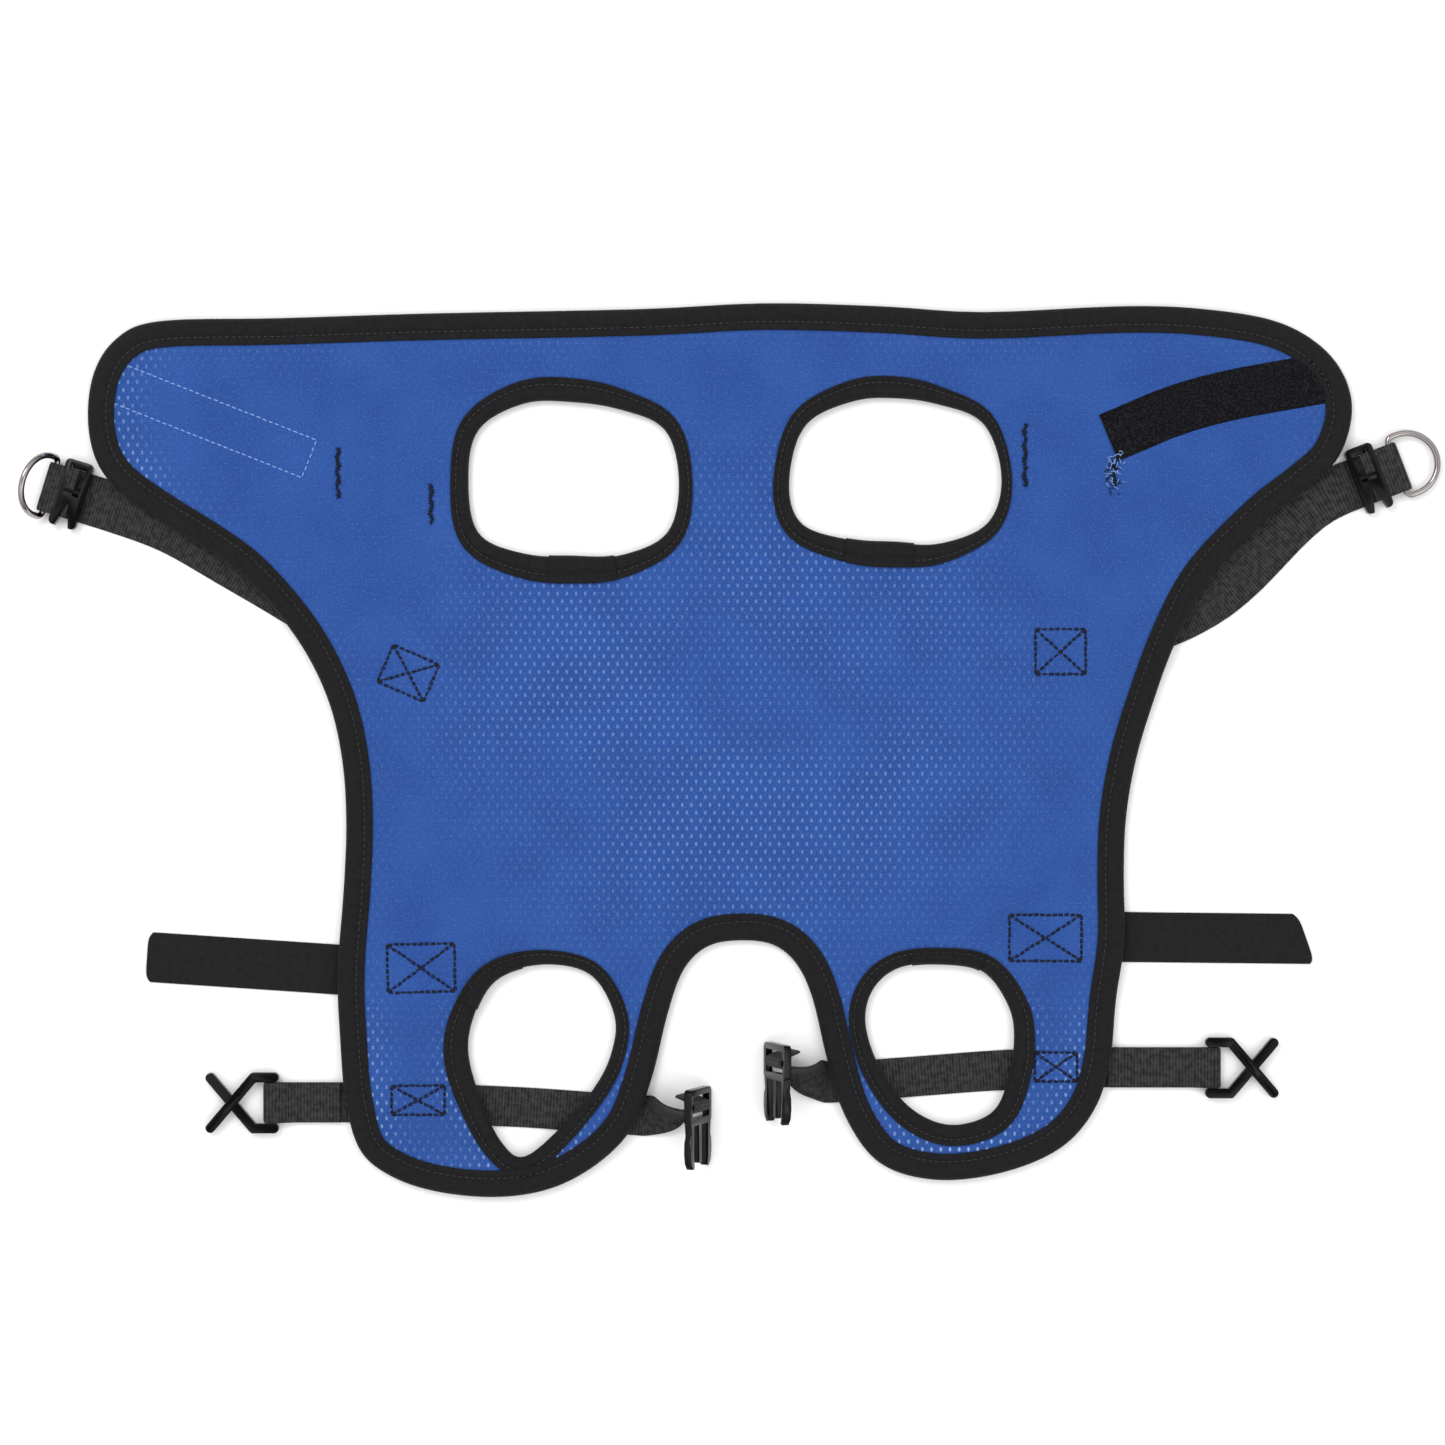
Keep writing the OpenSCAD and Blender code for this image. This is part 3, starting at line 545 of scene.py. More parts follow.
def half_plan(side):
    """Plan points, triangles and distances of one half. Rims come first and are kept as edges."""
    rim, inward = halves[side]
    edge = (rim + inward * LAYER_INSET)[::2]
    edge = np.concatenate([edge, (rim + inward * LAYER_INSET)[-1:]]) if len(rim) % 2 == 0 else edge
    seam_count = int((edge[0, 1] - edge[-1, 1]) / COARSE)
    seam_y = np.linspace(edge[-1, 1], edge[0, 1], seam_count + 1)[1:-1]
    ring = np.concatenate([edge, np.stack([0 * seam_y, seam_y], axis=-1)])
    holes = [(hole + outward * LAYER_INSET)[::2]
             for node, (hole, outward) in hole_rims.items() if node.endswith(side)]
    rings = [ring] + holes
    low, high = ring.min(axis=0), ring.max(axis=0)
    fill = honeycomb(low, high, COARSE)
    threads = box_runs[side] + tack_runs[side] + (blue_runs if side == "left" else [])
    near = lambda points: runs_distance(threads, *points.T) < 4.5 * MM
    detail = honeycomb(low, high, FINE)
    boxes = np.concatenate(threads)
    low, high = boxes.min(axis=0) - 5 * MM, boxes.max(axis=0) + 5 * MM
    detail = detail[((detail > low) & (detail < high)).all(axis=1)]
    fill = np.concatenate([fill[~near(fill)], detail[near(detail)]])
    clear = rim_distance(fill, rings) > 1.2 * MM
    fill = fill[clear & (np.abs(fill[:, 0]) > 1.5 * MM)]
    fill = fill[inside_blocks(ring, fill) & ~np.any([inside_blocks(hole, fill) for hole in holes], axis=0)]
    points = np.concatenate(rings + [fill])
    starts = np.cumsum([0] + [len(r) for r in rings])
    edges = np.concatenate([np.stack([np.arange(len(r)), (np.arange(len(r)) + 1) % len(r)], axis=-1) + start
                            for r, start in zip(rings, starts)])
    found = delaunay_2d_cdt([Vector(p) for p in points], edges.tolist(), [], 0, 1e-7, False)
    points, triangles = np.array([tuple(v) for v in found[0]]), np.array(found[2])
    middles = points[triangles].mean(axis=1)
    keep = inside_blocks(ring, middles) & ~np.any([inside_blocks(hole, middles) for hole in holes], axis=0)
    triangles = triangles[keep]
    turn = double_areas(points, triangles)
    triangles = np.where(turn[:, None] < 0, triangles[:, ::-1], triangles)[np.abs(turn) > 1e-12]
    from_edge = rim_distance(points, [rim])
    return points, triangles, from_edge, beyond_holes(points, side)


plans = {side: half_plan(side) for side in SIDES}
print("plan:", {side: (len(plans[side][0]), len(plans[side][1])) for side in SIDES}, "points, triangles")


# %% Build the three layers of each half
def slab(name, points, triangles, low, high):
    """A closed slab: the plan's triangles at height high and, upside down, at low, with walls on the rims."""
    edges = np.concatenate([triangles[:, [0, 1]], triangles[:, [1, 2]], triangles[:, [2, 0]]])
    both = np.sort(edges, axis=1)
    _, index, uses = np.unique(both, axis=0, return_index=True, return_counts=True)
    a, b = edges[index[uses == 1]].T
    count = len(points)
    walls = np.concatenate([np.stack([b, a, a + count], axis=-1),
                            np.stack([b, a + count, b + count], axis=-1)])
    faces = np.concatenate([triangles, triangles[:, ::-1] + count, walls])
    solid = np.concatenate([np.column_stack([points, high]), np.column_stack([points, low])])
    piece = add_piece(name, solid, faces, solid[faces][:, :, :2])
    piece.data.set_sharp_from_angle(angle=math.radians(60))
    return piece


def flat_area(points, triangles):
    """Area of the plan: the sum of its triangles' areas."""
    return float(np.abs(double_areas(points, triangles)).sum() / 2)


layers = {}
for side in SIDES:
    points, triangles, from_edge, beyond_hole = plans[side]
    bottom = lie(*points.T)
    top = bottom + lining_height(points, from_edge, beyond_hole, side)
    levels = [bottom, bottom + SHELL_T, top - LINING_T, top]
    for k, kind in enumerate(("shell", "foam", "lining")):
        layers[kind, side] = slab(f"{kind}_panel_{side}", points, triangles, levels[k], levels[k + 1])
    stretch = bell(np.maximum(np.minimum(from_edge - EDGE_W, beyond_hole + 6 * MM), 0), 13 * MM)
    near_rim = layers["lining", side].data.attributes.new("near_rim", "FLOAT", "POINT")
    near_rim.data.foreach_set("value", np.concatenate([stretch, stretch]).astype(np.float32))
    print(side, "panel area:", round(flat_area(points, triangles), 4), "m2")
    print(side, "panel's highest point:", (top.max() / MM).round(2), "mm")


# %% [markdown]
# ## The folded tape
#
# The tape is folded over the rim like a channel. Its section is a closed ring: over the top, round a soft
# nose, back along the bottom, and home again on the inside, one tape's thickness in. The stitch row pulls
# a groove into the top. Sweeping the section along a rim is one array sum: rim point + inward x reach.

# %% Sweep the folded tape along every rim
NOSE = 3.2 * MM            # depth of the rounded front
MIDDLE = 2.3 * MM          # height of the fold's middle over the panel's underside
TAPE_TOP, TAPE_BOTTOM = 3.0 * MM, 3.1 * MM
SEAM_AT = 0.7              # where the stitch row runs, as a share of the tape's width
GROOVE = 0.9 * MM          # depth of the groove that the stitches pull
ROLL, ROLL_AT = 0.35 * MM, 4.5 * MM   # height of the roll near the front, and how far in it is


def tape_top(reach, width):
    """Height of the tape's upper face: level, less a bell-shaped groove at the seam, plus a roll in front."""
    groove = GROOVE * bell(reach - SEAM_AT * width, 1.2 * MM)
    return TAPE_TOP - groove + ROLL * bell(reach - ROLL_AT, 2.5 * MM)


def tape_section(width, under):
    """Reach and height round the folded tape's section: one row for each width, one column for each point."""
    w = width[:, None]
    out, turn = np.linspace(1, 0, 13), np.radians(np.linspace(90, -90, 11))[1:]
    over = NOSE + out * (w - NOSE)
    below = np.linspace(NOSE, under, 5)[1:] + 0 * w
    lift = np.where(turn > 0, tape_top(NOSE, w), TAPE_BOTTOM)
    outer_reach = [over, NOSE * (1 - np.cos(turn)) + 0 * w, below]
    outer_height = [tape_top(over, w), lift * np.sin(turn), below * 0 - TAPE_BOTTOM]
    inner_reach = [below[:, ::-1], TAPE_T + (NOSE - TAPE_T) * (1 - np.cos(turn[::-1])) + 0 * w,
                   over[:, ::-1]]
    inner_height = [below * 0 - TAPE_BOTTOM + TAPE_T, (lift[:, ::-1] - TAPE_T) * np.sin(turn[::-1]),
                    tape_top(over[:, ::-1], w) - TAPE_T]
    return np.hstack(outer_reach + inner_reach), np.hstack(outer_height + inner_height)


def add_tape(name, rim, inward, width, under, closed):
    """Folded tape along a rim, lying at the height of the panel."""
    reach, height = tape_section(width, under)
    plan = rim[:, None] + inward[:, None] * reach[..., None]
    z = lie(plan[..., 0], plan[..., 1]) + MIDDLE + height
    return add_grid(name, np.concatenate([plan, z[..., None]], axis=-1), closed_rows=closed, ends=False)


tapes, tape_seams = {}, {}
for side in SIDES:
    rim, inward = halves[side]
    width = np.full(len(rim), EDGE_W)
    tapes["edge_binding", side] = add_tape("edge_tape_" + side, rim, inward, width, 12 * MM, False)
    tape_seams["edge_binding", side] = (rim, inward, width, False)
for node, (rim, outward) in hole_rims.items():
    kind, side = node.rsplit("_", 1)
    width = hole_tape_width(node, *rim.T)
    tapes[kind, side] = add_tape(node.replace("binding", "tape"), rim, outward, width, 8 * MM, True)
    tape_seams[kind, side] = (rim, outward, width, True)


def add_lap(node, start, end):
    """A second layer of tape over part of a hole's tape, where the tape's end laps over its beginning."""
    rim, outward = hole_rims[node]
    middle = rim.mean(axis=0)
    angle = np.degrees(np.arctan2(rim[:, 1] - middle[1], rim[:, 0] - middle[0])) % 360
    part = np.flatnonzero((angle > start) & (angle < end))
    part = part[np.argsort(angle[part])]
    reach, height = tape_section(hole_tape_width(node, *rim[part].T) + 0.5 * MM, 8 * MM)
    plan = rim[part][:, None] + outward[part][:, None] * (reach - 0.6 * MM)[..., None]
    z = lie(plan[..., 0], plan[..., 1]) + MIDDLE + np.where(height > 0, height * 1.2, height)
    return add_grid(node.replace("binding", "lap"), np.concatenate([plan, z[..., None]], axis=-1))


LAPS = {"front_hole_binding_left": (252, 300), "front_hole_binding_right": (232, 285),
        "rear_hole_binding_left": (100, 145), "rear_hole_binding_right": (62, 112)}
laps = {node: add_lap(node, start, end) for node, (start, end) in LAPS.items()}
print("tapes:", sorted(tape.name for tape in tapes.values()), "laps:", len(laps))

# %% [markdown]
# ## Thread
#
# Every stitch is a short capsule of thread that dives into the cloth at both ends. One small capsule is
# described once, in its own length and side directions, and numpy places all of them in a single step.

# %% Thread as many small capsules
rng = np.random.default_rng(11)
RINGS, SIDES_ROUND = 6, 6  # each thread's rings of points, and the points in a ring


def add_threads(name, starts, ends, radius, arch):
    """Threads from starts to ends. Each one's middle is raised by arch, and its radius fades at both ends."""
    t, angle = np.linspace(0, 1, RINGS), np.arange(SIDES_ROUND) * math.tau / SIDES_ROUND
    ahead = ends - starts
    direction = unit(ahead)
    across = unit(np.cross([0, 0, 1], direction))
    up = np.cross(direction, across)
    rise = arch * np.sin(math.pi * t)
    middle = starts[:, None] + ahead[:, None] * t[:, None] + up[:, None] * rise[:, None]
    round_off = radius * np.sqrt(1.001 - (2 * t - 1) ** 4)
    ring = np.cos(angle)[:, None] * across[:, None, None] + np.sin(angle)[:, None] * up[:, None, None]
    points = middle[:, :, None] + round_off[:, None, None] * ring
    i, j = np.meshgrid(np.arange(RINGS - 1), np.arange(SIDES_ROUND), indexing="ij")
    beside, here, after = (j + 1) % SIDES_ROUND, i * SIDES_ROUND, (i + 1) * SIDES_ROUND
    quad = np.stack([here + j, after + j, after + beside, here + beside], axis=-1).reshape(-1, 4)
    first = np.arange(len(starts))[:, None, None] * RINGS * SIDES_ROUND
    faces = (first + quad).reshape(-1, 4)
    return add_piece(name, points.reshape(-1, 3), faces)


def lining_top(points, side):
    """Height of the lining's upper face over the floor."""
    from_edge = rim_distance(points, [halves[side][0]])
    return lie(*points.T) + lining_height(points, from_edge, beyond_holes(points, side), side)


def seam_threads(line, pitch, length, closed=False):
    """Start and end of each stitch along a line: every pitch, one stitch of that length."""
    run = running_length(line, closed)
    line = np.concatenate([line, line[:1]]) if closed else line
    at = np.arange(pitch / 2, run[-1] - length, pitch)
    place = lambda s: np.stack([np.interp(s, run, line[:, k]) for k in range(3)], axis=-1)
    return place(at), place(at + length)


def row_on_lining(run, side, pitch, length, shift, ragged):
    """A row of stitches beside a straight run, each end moved at random by up to ragged."""
    ahead = unit(run[1] - run[0])
    beside = np.array([-ahead[1], ahead[0]]) * shift
    count = max(2, round(np.linalg.norm(run[1] - run[0]) / pitch))
    at = (np.arange(count) + 0.5) / count
    middles = run[0] + (run[1] - run[0]) * at[:, None] + beside
    ends = [middles + ahead * length * s / 2 + rng.uniform(-ragged, ragged, middles.shape) for s in (-1, 1)]
    return [np.column_stack([end, lining_top(end, side)]) for end in ends]


def joined(rows):
    """Several (starts, ends) pairs as one."""
    return [np.concatenate(part) for part in zip(*rows)]


seams = {}
for (kind, side), (rim, inward, width, closed) in tape_seams.items():
    plan = rim + inward * (SEAM_AT * width)[:, None]
    height = lie(*plan.T) + MIDDLE + tape_top(SEAM_AT * width, width) + 0.08 * MM
    starts, ends = seam_threads(np.column_stack([plan, height]), 3.2 * MM, 2.2 * MM, closed)
    name = f"{kind}_seam_{side}".replace("_binding", "")
    seams[kind, side] = add_threads(name, starts, ends, 0.25 * MM, 0.2 * MM)

boxes, tacks = {}, {}
for side in SIDES:
    rows = [row_on_lining(run, side, 3.0 * MM, 2.9 * MM, shift, 0.25 * MM)
            for run in box_runs[side] for shift in (-0.3 * MM, 0.35 * MM)]
    boxes[side] = add_threads("box_seams_" + side, *joined(rows), 0.34 * MM, 0.3 * MM)
    rows = []
    for run in tack_runs[side]:
        count = int(np.linalg.norm(run[1] - run[0]) / (0.42 * MM))
        middles = run[0] + (run[1] - run[0]) * ((np.arange(count) + 0.5) / count)[:, None]
        middles = middles + np.stack([np.sin(np.arange(count) * 0.37) * 0.5 * MM, np.zeros(count)], axis=-1)
        reach = np.stack([rng.uniform(0.4, 1.7, count) * MM, rng.uniform(-0.9, 0.9, count) * MM], axis=-1)
        ends = [middles - reach, middles + reach]
        rows.append([np.column_stack([end, lining_top(end, side) + 0.1 * MM]) for end in ends])
    tacks[side] = add_threads("bar_tack_threads_" + side, *joined(rows), 0.24 * MM, 0.45 * MM)
rows = [row_on_lining(run, "left", 3.3 * MM, 2.6 * MM, 0, 0.1 * MM) for run in blue_runs]
blue_seam = add_threads("closure_seam_left", *joined(rows), 0.36 * MM, 0.35 * MM)
print("threads:", {piece.name: len(piece.data.vertices) // (RINGS * SIDES_ROUND)
                   for piece in (*seams.values(), *boxes.values())})

# %% [markdown]
# ## Webbing
#
# A strap is a path of middle points and, at each of them, the direction across the strap. Bending the path
# round a bar makes a loop, and turning the direction makes a twist, so one function serves every strap.

# %% Straps as swept ribbons
def add_strap(name, path, across, width, thickness=WEBBING_T, step=0.7 * MM, cut=None):
    """A flat strap with rounded selvedges.

    cut(v) says how far short of the end the strap stops, for v from -1 on one selvedge to 1 on the other.
    """
    run = running_length(path)
    at = np.linspace(0, run[-1], int(run[-1] / step))
    path, across = (np.stack([np.interp(at, run, line[:, k]) for k in range(3)], axis=-1)
                    for line in (path, across))
    ahead = unit(np.gradient(path, axis=0))
    across = unit(across - (across * ahead).sum(axis=1, keepdims=True) * ahead)
    up = np.cross(ahead, across)
    v = np.sin(np.linspace(-1, 1, 25) * math.pi / 2)
    v, face = np.concatenate([v, v[-2:0:-1]]), np.concatenate([np.ones(25), -np.ones(23)])
    height = face * thickness / 2 * np.sqrt(np.maximum(1 - np.abs(v) ** 14, 0))
    grid = (path[:, None] + across[:, None] * (v * width / 2)[:, None] + up[:, None] * height[:, None])
    if cut is not None:
        pull = smooth_step(at, at[-1] - 26 * MM, at[-1])[:, None] * cut(v)
        grid = grid - ahead[:, None] * pull[..., None]
    return add_grid(name, grid)


def arc_round(centre, heading, radius, start, end):
    """Points on an upright arc round a level bar, from start to end degrees above the heading."""
    angle = np.radians(np.linspace(start, end, 25))[:, None]
    return centre + radius * (np.cos(angle) * heading + np.sin(angle) * np.array([0, 0, 1]))


def at_height(line, z):
    """A plan line as points at one height."""
    return np.column_stack([line, np.full(len(line), z)])


FLOOR_Z = WEBBING_T / 2 + 0.02 * MM
LOOP_R = 2.65 * MM         # from a bar's axis to the middle of the webbing round it
LOOP_Z = 3.4 * MM          # height of a ring's or a hook's bar
BACK = {"left": 12 * MM, "right": 16 * MM}   # from the ring's bar back to the slider that grips the end
straps = {}
for side in SIDES:
    bar, across, heading = ring_bar(side)
    flat = at_height(spaced(shoulder_lines[side][:-1], 60), FLOOR_Z)
    near = bar + np.outer([-12, -8, -4, -1], heading) * MM
    near[:, 2] = FLOOR_Z
    flat = flat[(flat[:, :2] - bar[:2]) @ heading[:2] < -16 * MM]
    back = bar + LOOP_R * np.array([0, 0, 1]) - np.outer([0.3, 0.65, 1], heading) * BACK[side]
    back[:, 2] -= np.array([0.2, 0.7, 1.2]) * MM
    path = np.concatenate([flat, near, arc_round(bar, heading, LOOP_R, -90, 90), back])
    sideways = np.gradient(path, axis=0)
    sideways = np.stack([-sideways[:, 1], sideways[:, 0], 0 * sideways[:, 0]], axis=-1)
    turned = np.arange(len(path)) >= len(flat)
    sideways[turned] = across * np.sign(sideways[len(flat) - 2] @ across)
    name = "shoulder_webbing_" + side
    straps["shoulder_strap", side] = add_strap(name, path, unit(sideways), SHOULDER_W)

BUCKLE_R = 2.4 * MM        # from the buckle's bar to the middle of the webbing round it
for side in SIDES:
    fold, _ = joint_place(side + "_leg_strap_fold")
    hook, _ = joint_place(side + "_hook_swing")
    bar, axis = joint_place(side + "_buckle_swing")
    upright = np.array([OUTWARD[side] * abs(axis[0]), 0, abs(axis[2])])
    lead = np.array([-OUTWARD[side] * abs(axis[2]), 0, abs(axis[0])])
    heading = np.array([OUTWARD[side], 0, 0])
    y = np.array([0.0, 1.0, 0.0])
    upper = np.array([[fold[0] + 7 * MM * -OUTWARD[side], fold[1], 2.5 * MM],
                      [hook[0] - OUTWARD[side] * 12 * MM, fold[1], 2.7 * MM],
                      [hook[0] - OUTWARD[side] * 3 * MM, fold[1], LOOP_Z + LOOP_R - 0.4 * MM]])
    lying = np.concatenate([[hook[:2] - heading[:2] * MM], spaced(leg_lines[side][::-1], 30)])
    floor = at_height(lying, FLOOR_Z)
    low, target = floor[-1], bar - BUCKLE_R * y - 2 * MM * lead
    t = np.linspace(0, 1, 16)[1:, None]
    twist = smooth_step(t, 0, 1) * math.pi / 2
    rise = low + (target - low) * t
    rise[:, 2] = low[2] + (target[2] - low[2]) * np.sin(twist[:, 0])
    angle = np.radians(np.linspace(-90, 90, 17))[:, None]
    round_bar = bar + BUCKLE_R * (np.cos(angle) * lead + np.sin(angle) * y)
    tail = round_bar[-1] + np.array([[0.5], [1]]) * (-8 * MM * lead + 3 * MM * y)
    path = np.concatenate([upper, arc_round(hook, heading, LOOP_R, 90, -90), floor, rise, round_bar, tail])
    across = np.tile(y, (len(path), 1))
    start = len(path) - len(rise) - len(round_bar) - len(tail)
    across[start:start + len(rise)] = np.cos(twist) * y + np.sin(twist) * upright
    across[start + len(rise):] = upright
    tilt = np.abs(across[:, 2])
    reach = tilt * LEG_W / 2 + np.sqrt(np.maximum(1 - tilt ** 2, 0)) * WEBBING_T / 2
    path[start:, 2] = np.maximum(path[start:, 2], reach[start:] + 0.1 * MM)
    straps["leg_strap", side] = add_strap("leg_webbing_" + side, path, across, LEG_W)

TAB_FREE = 92 * MM         # from the fold to a side tab's free end
for side in SIDES:
    fold, _ = joint_place(side + "_side_tab_fold")
    inner = tab_lines[side][0]
    heading = unit(fold[:2] - inner)
    outer = fold[:2] + heading * TAB_FREE
    path = at_height(spaced(np.stack([inner, outer]), 60), FLOOR_Z)
    across = np.tile([-heading[1], heading[0], 0.0], (len(path), 1))
    if side == "left":
        cut = lambda v: 2.5 * MM * np.abs(v) ** 6
    else:
        cut = lambda v: (4.5 * (v + 1) + 2.5 * np.abs(v) ** 6) * MM
    straps["side_tab", side] = add_strap("tab_webbing_" + side, path, across, TAB_W, cut=cut)
print("straps:", {piece.name: len(piece.data.polygons) for piece in straps.values()})

# %% [markdown]
# ## The closure tape on the lining
#
# The fuzzy tape lies on the lining and follows its height, so its height is the lining's plus its own pile.

# %% Drape the closure tape on the lining
def add_closure(name, line, width, thickness, side):
    """A strip on the lining: its underside is the lining's height and its top is a random pile above it."""
    line = spaced(line, int(running_length(line)[-1] / (0.8 * MM)))
    ahead = unit(np.gradient(line, axis=0))
    beside = np.stack([-ahead[:, 1], ahead[:, 0]], axis=-1)
    v = np.linspace(-1, 1, 33)
    plan = line[:, None] + beside[:, None] * (v * width / 2)[:, None]
    rest = lining_top(plan.reshape(-1, 2), side).reshape(plan.shape[:2])
    pile = thickness * np.sqrt(1.0 - 0.9 * np.abs(v) ** 12) + rng.uniform(-0.16, 0.16, rest.shape) * MM
    top = np.concatenate([plan, (rest + pile)[..., None]], axis=-1)
    bottom = np.concatenate([plan, (rest - 0.1 * MM)[..., None]], axis=-1)[:, ::-1]
    return add_grid(name, np.concatenate([top, bottom], axis=1))


closure_line = lengthened(middle_line("loop_tape", 8, 20 * MM), 19 * MM, 21 * MM)
closure = add_closure("closure_tape_right", closure_line, 25 * MM, 0.95 * MM, "right")


def frayed(count, middle, spread, length, name, radius):
    """Loose thread ends: short strands at random round a place on the right half's lining."""
    starts = middle + rng.normal(0, 1, (count, 2)) * spread
    turn = rng.uniform(0, math.tau, count)
    ends = starts + np.stack([np.cos(turn), np.sin(turn)], axis=-1) * rng.uniform(0.4, 1, (count, 1)) * length
    pair = [np.column_stack([end, lining_top(end, "right") + 0.15 * MM]) for end in (starts, ends)]
    return add_threads(name, *pair, radius, 0.9 * MM)


tape_end = closure_line[0] + np.array([2.5, -15.5]) * MM
blue_spread, black_spread = np.array([2.6, 5.0]) * MM, np.array([2.2, 6.0]) * MM
frays = {
    "blue_thread": frayed(34, tape_end, blue_spread, 5 * MM, "frayed_blue_threads", 0.2 * MM),
    "black_thread": frayed(26, tape_end, black_spread, 4 * MM, "frayed_black_threads", 0.24 * MM),
}
print("closure tape faces:", len(closure.data.polygons))

# %% [markdown]
# ## Fittings
#
# Moulded plastic never has a knife edge. A copy of each CAD fitting is merged into one surface, its flat
# areas are dissolved into single faces, and a Bevel modifier rounds the edges that are left. The D-rings
# are one bent wire, so they are swept again with many more faces.

# %% Round the moulded fittings
def add_moulded(node, name, edge=0.4 * MM):
    """A copy of a CAD fitting: triangles merged, normals outward, edges rounded by a Bevel modifier."""
    mesh = frame["nodes"][node].data.copy()
    mesh.name = name
    piece = bpy.data.objects.new(name, mesh)
    bpy.context.scene.collection.objects.link(piece)
    shape = bmesh.new()
    shape.from_mesh(mesh)
    bmesh.ops.remove_doubles(shape, verts=shape.verts, dist=1e-6)
    bmesh.ops.dissolve_limit(shape, angle_limit=math.radians(4), verts=shape.verts, edges=shape.edges)
    bmesh.ops.recalc_face_normals(shape, faces=shape.faces)
    for face in shape.faces:
        face.smooth = True
    shape.to_mesh(mesh)
    shape.free()
    mesh.materials.clear()
    bevel = piece.modifiers.new("rounded edges", "BEVEL")
    bevel.width, bevel.segments = edge, 3
    bevel.limit_method, bevel.angle_limit = "ANGLE", math.radians(35)
    bevel.harden_normals = True
    return piece


fittings = {(kind, side): add_moulded(f"{kind}_{side}", f"moulded_{kind}_{side}")
            for kind in ("cross_hook", "slider", "buckle") for side in SIDES}

# %% Sweep the D-rings
WIRE_R = 1.6 * MM
RING_HALF = 15.4 * MM      # radius of the half turn, which is half the ring's width on its wire's middle
RING_LEG = 5.0 * MM        # straight part between the half turn and a corner
RING_CORNER = 2.8 * MM     # radius of the two corners beside the bar


def d_path():
    """The D's middle line in its own plane: half turn, leg, small corner, bar, small corner, leg."""
    arc = lambda x, y, r, a, b, n: np.stack([x + r * np.cos(np.radians(np.linspace(a, b, n))),
                                             y + r * np.sin(np.radians(np.linspace(a, b, n)))], axis=-1)
    side = RING_HALF - RING_CORNER
    return np.concatenate([arc(RING_LEG, 0, RING_HALF, -90, 90, 40),
                           arc(RING_CORNER, side, RING_CORNER, 90, 180, 8)[:-1],
                           np.stack([np.zeros(12), np.linspace(side, -side, 12)], axis=-1),
                           arc(RING_CORNER, -side, RING_CORNER, 180, 270, 8)[1:]])


TILT = {"left": 60, "right": 0}   # degrees that each ring stands up from level
rings = {}
for side in SIDES:
    bar, along_bar, heading = ring_bar(side)
    tilt = math.radians(TILT[side])
    reach = heading * math.cos(tilt) + np.array([0, 0, 1]) * math.sin(tilt)
    path = spaced(d_path(), 150, closed=True)
    path = bar + path[:, :1] * reach + path[:, 1:] * along_bar
    ahead = unit(np.roll(path, -1, axis=0) - np.roll(path, 1, axis=0))
    up = np.cross(reach, along_bar)
    beside = np.cross(ahead, up)
    angle = np.arange(20) * math.tau / 20
    grid = path[:, None] + WIRE_R * (np.cos(angle)[:, None] * beside[:, None] + np.sin(angle)[:, None] * up)
    rings[side] = add_grid("nickel_ring_" + side, grid, closed_rows=True, ends=False)
print("fittings:", sorted(piece.name for piece in list(fittings.values()) + list(rings.values())))

# %% [markdown]
# ## Materials
#
# Every cloth pattern is drawn in metres on the "cloth" UV map, so its scale is the real one. A helper adds a
# node and sets its inputs: an input that is given another node's socket is linked, and any other is a value.

# %% Helpers for shader nodes
def linear(red, green, blue):
    """An 8-bit screen colour as the linear light that shaders use."""
    share = np.array([red, green, blue]) / 255
    light = np.where(share <= 0.04045, share / 12.92, ((share + 0.055) / 1.055) ** 2.4)
    return (*light.tolist(), 1.0)


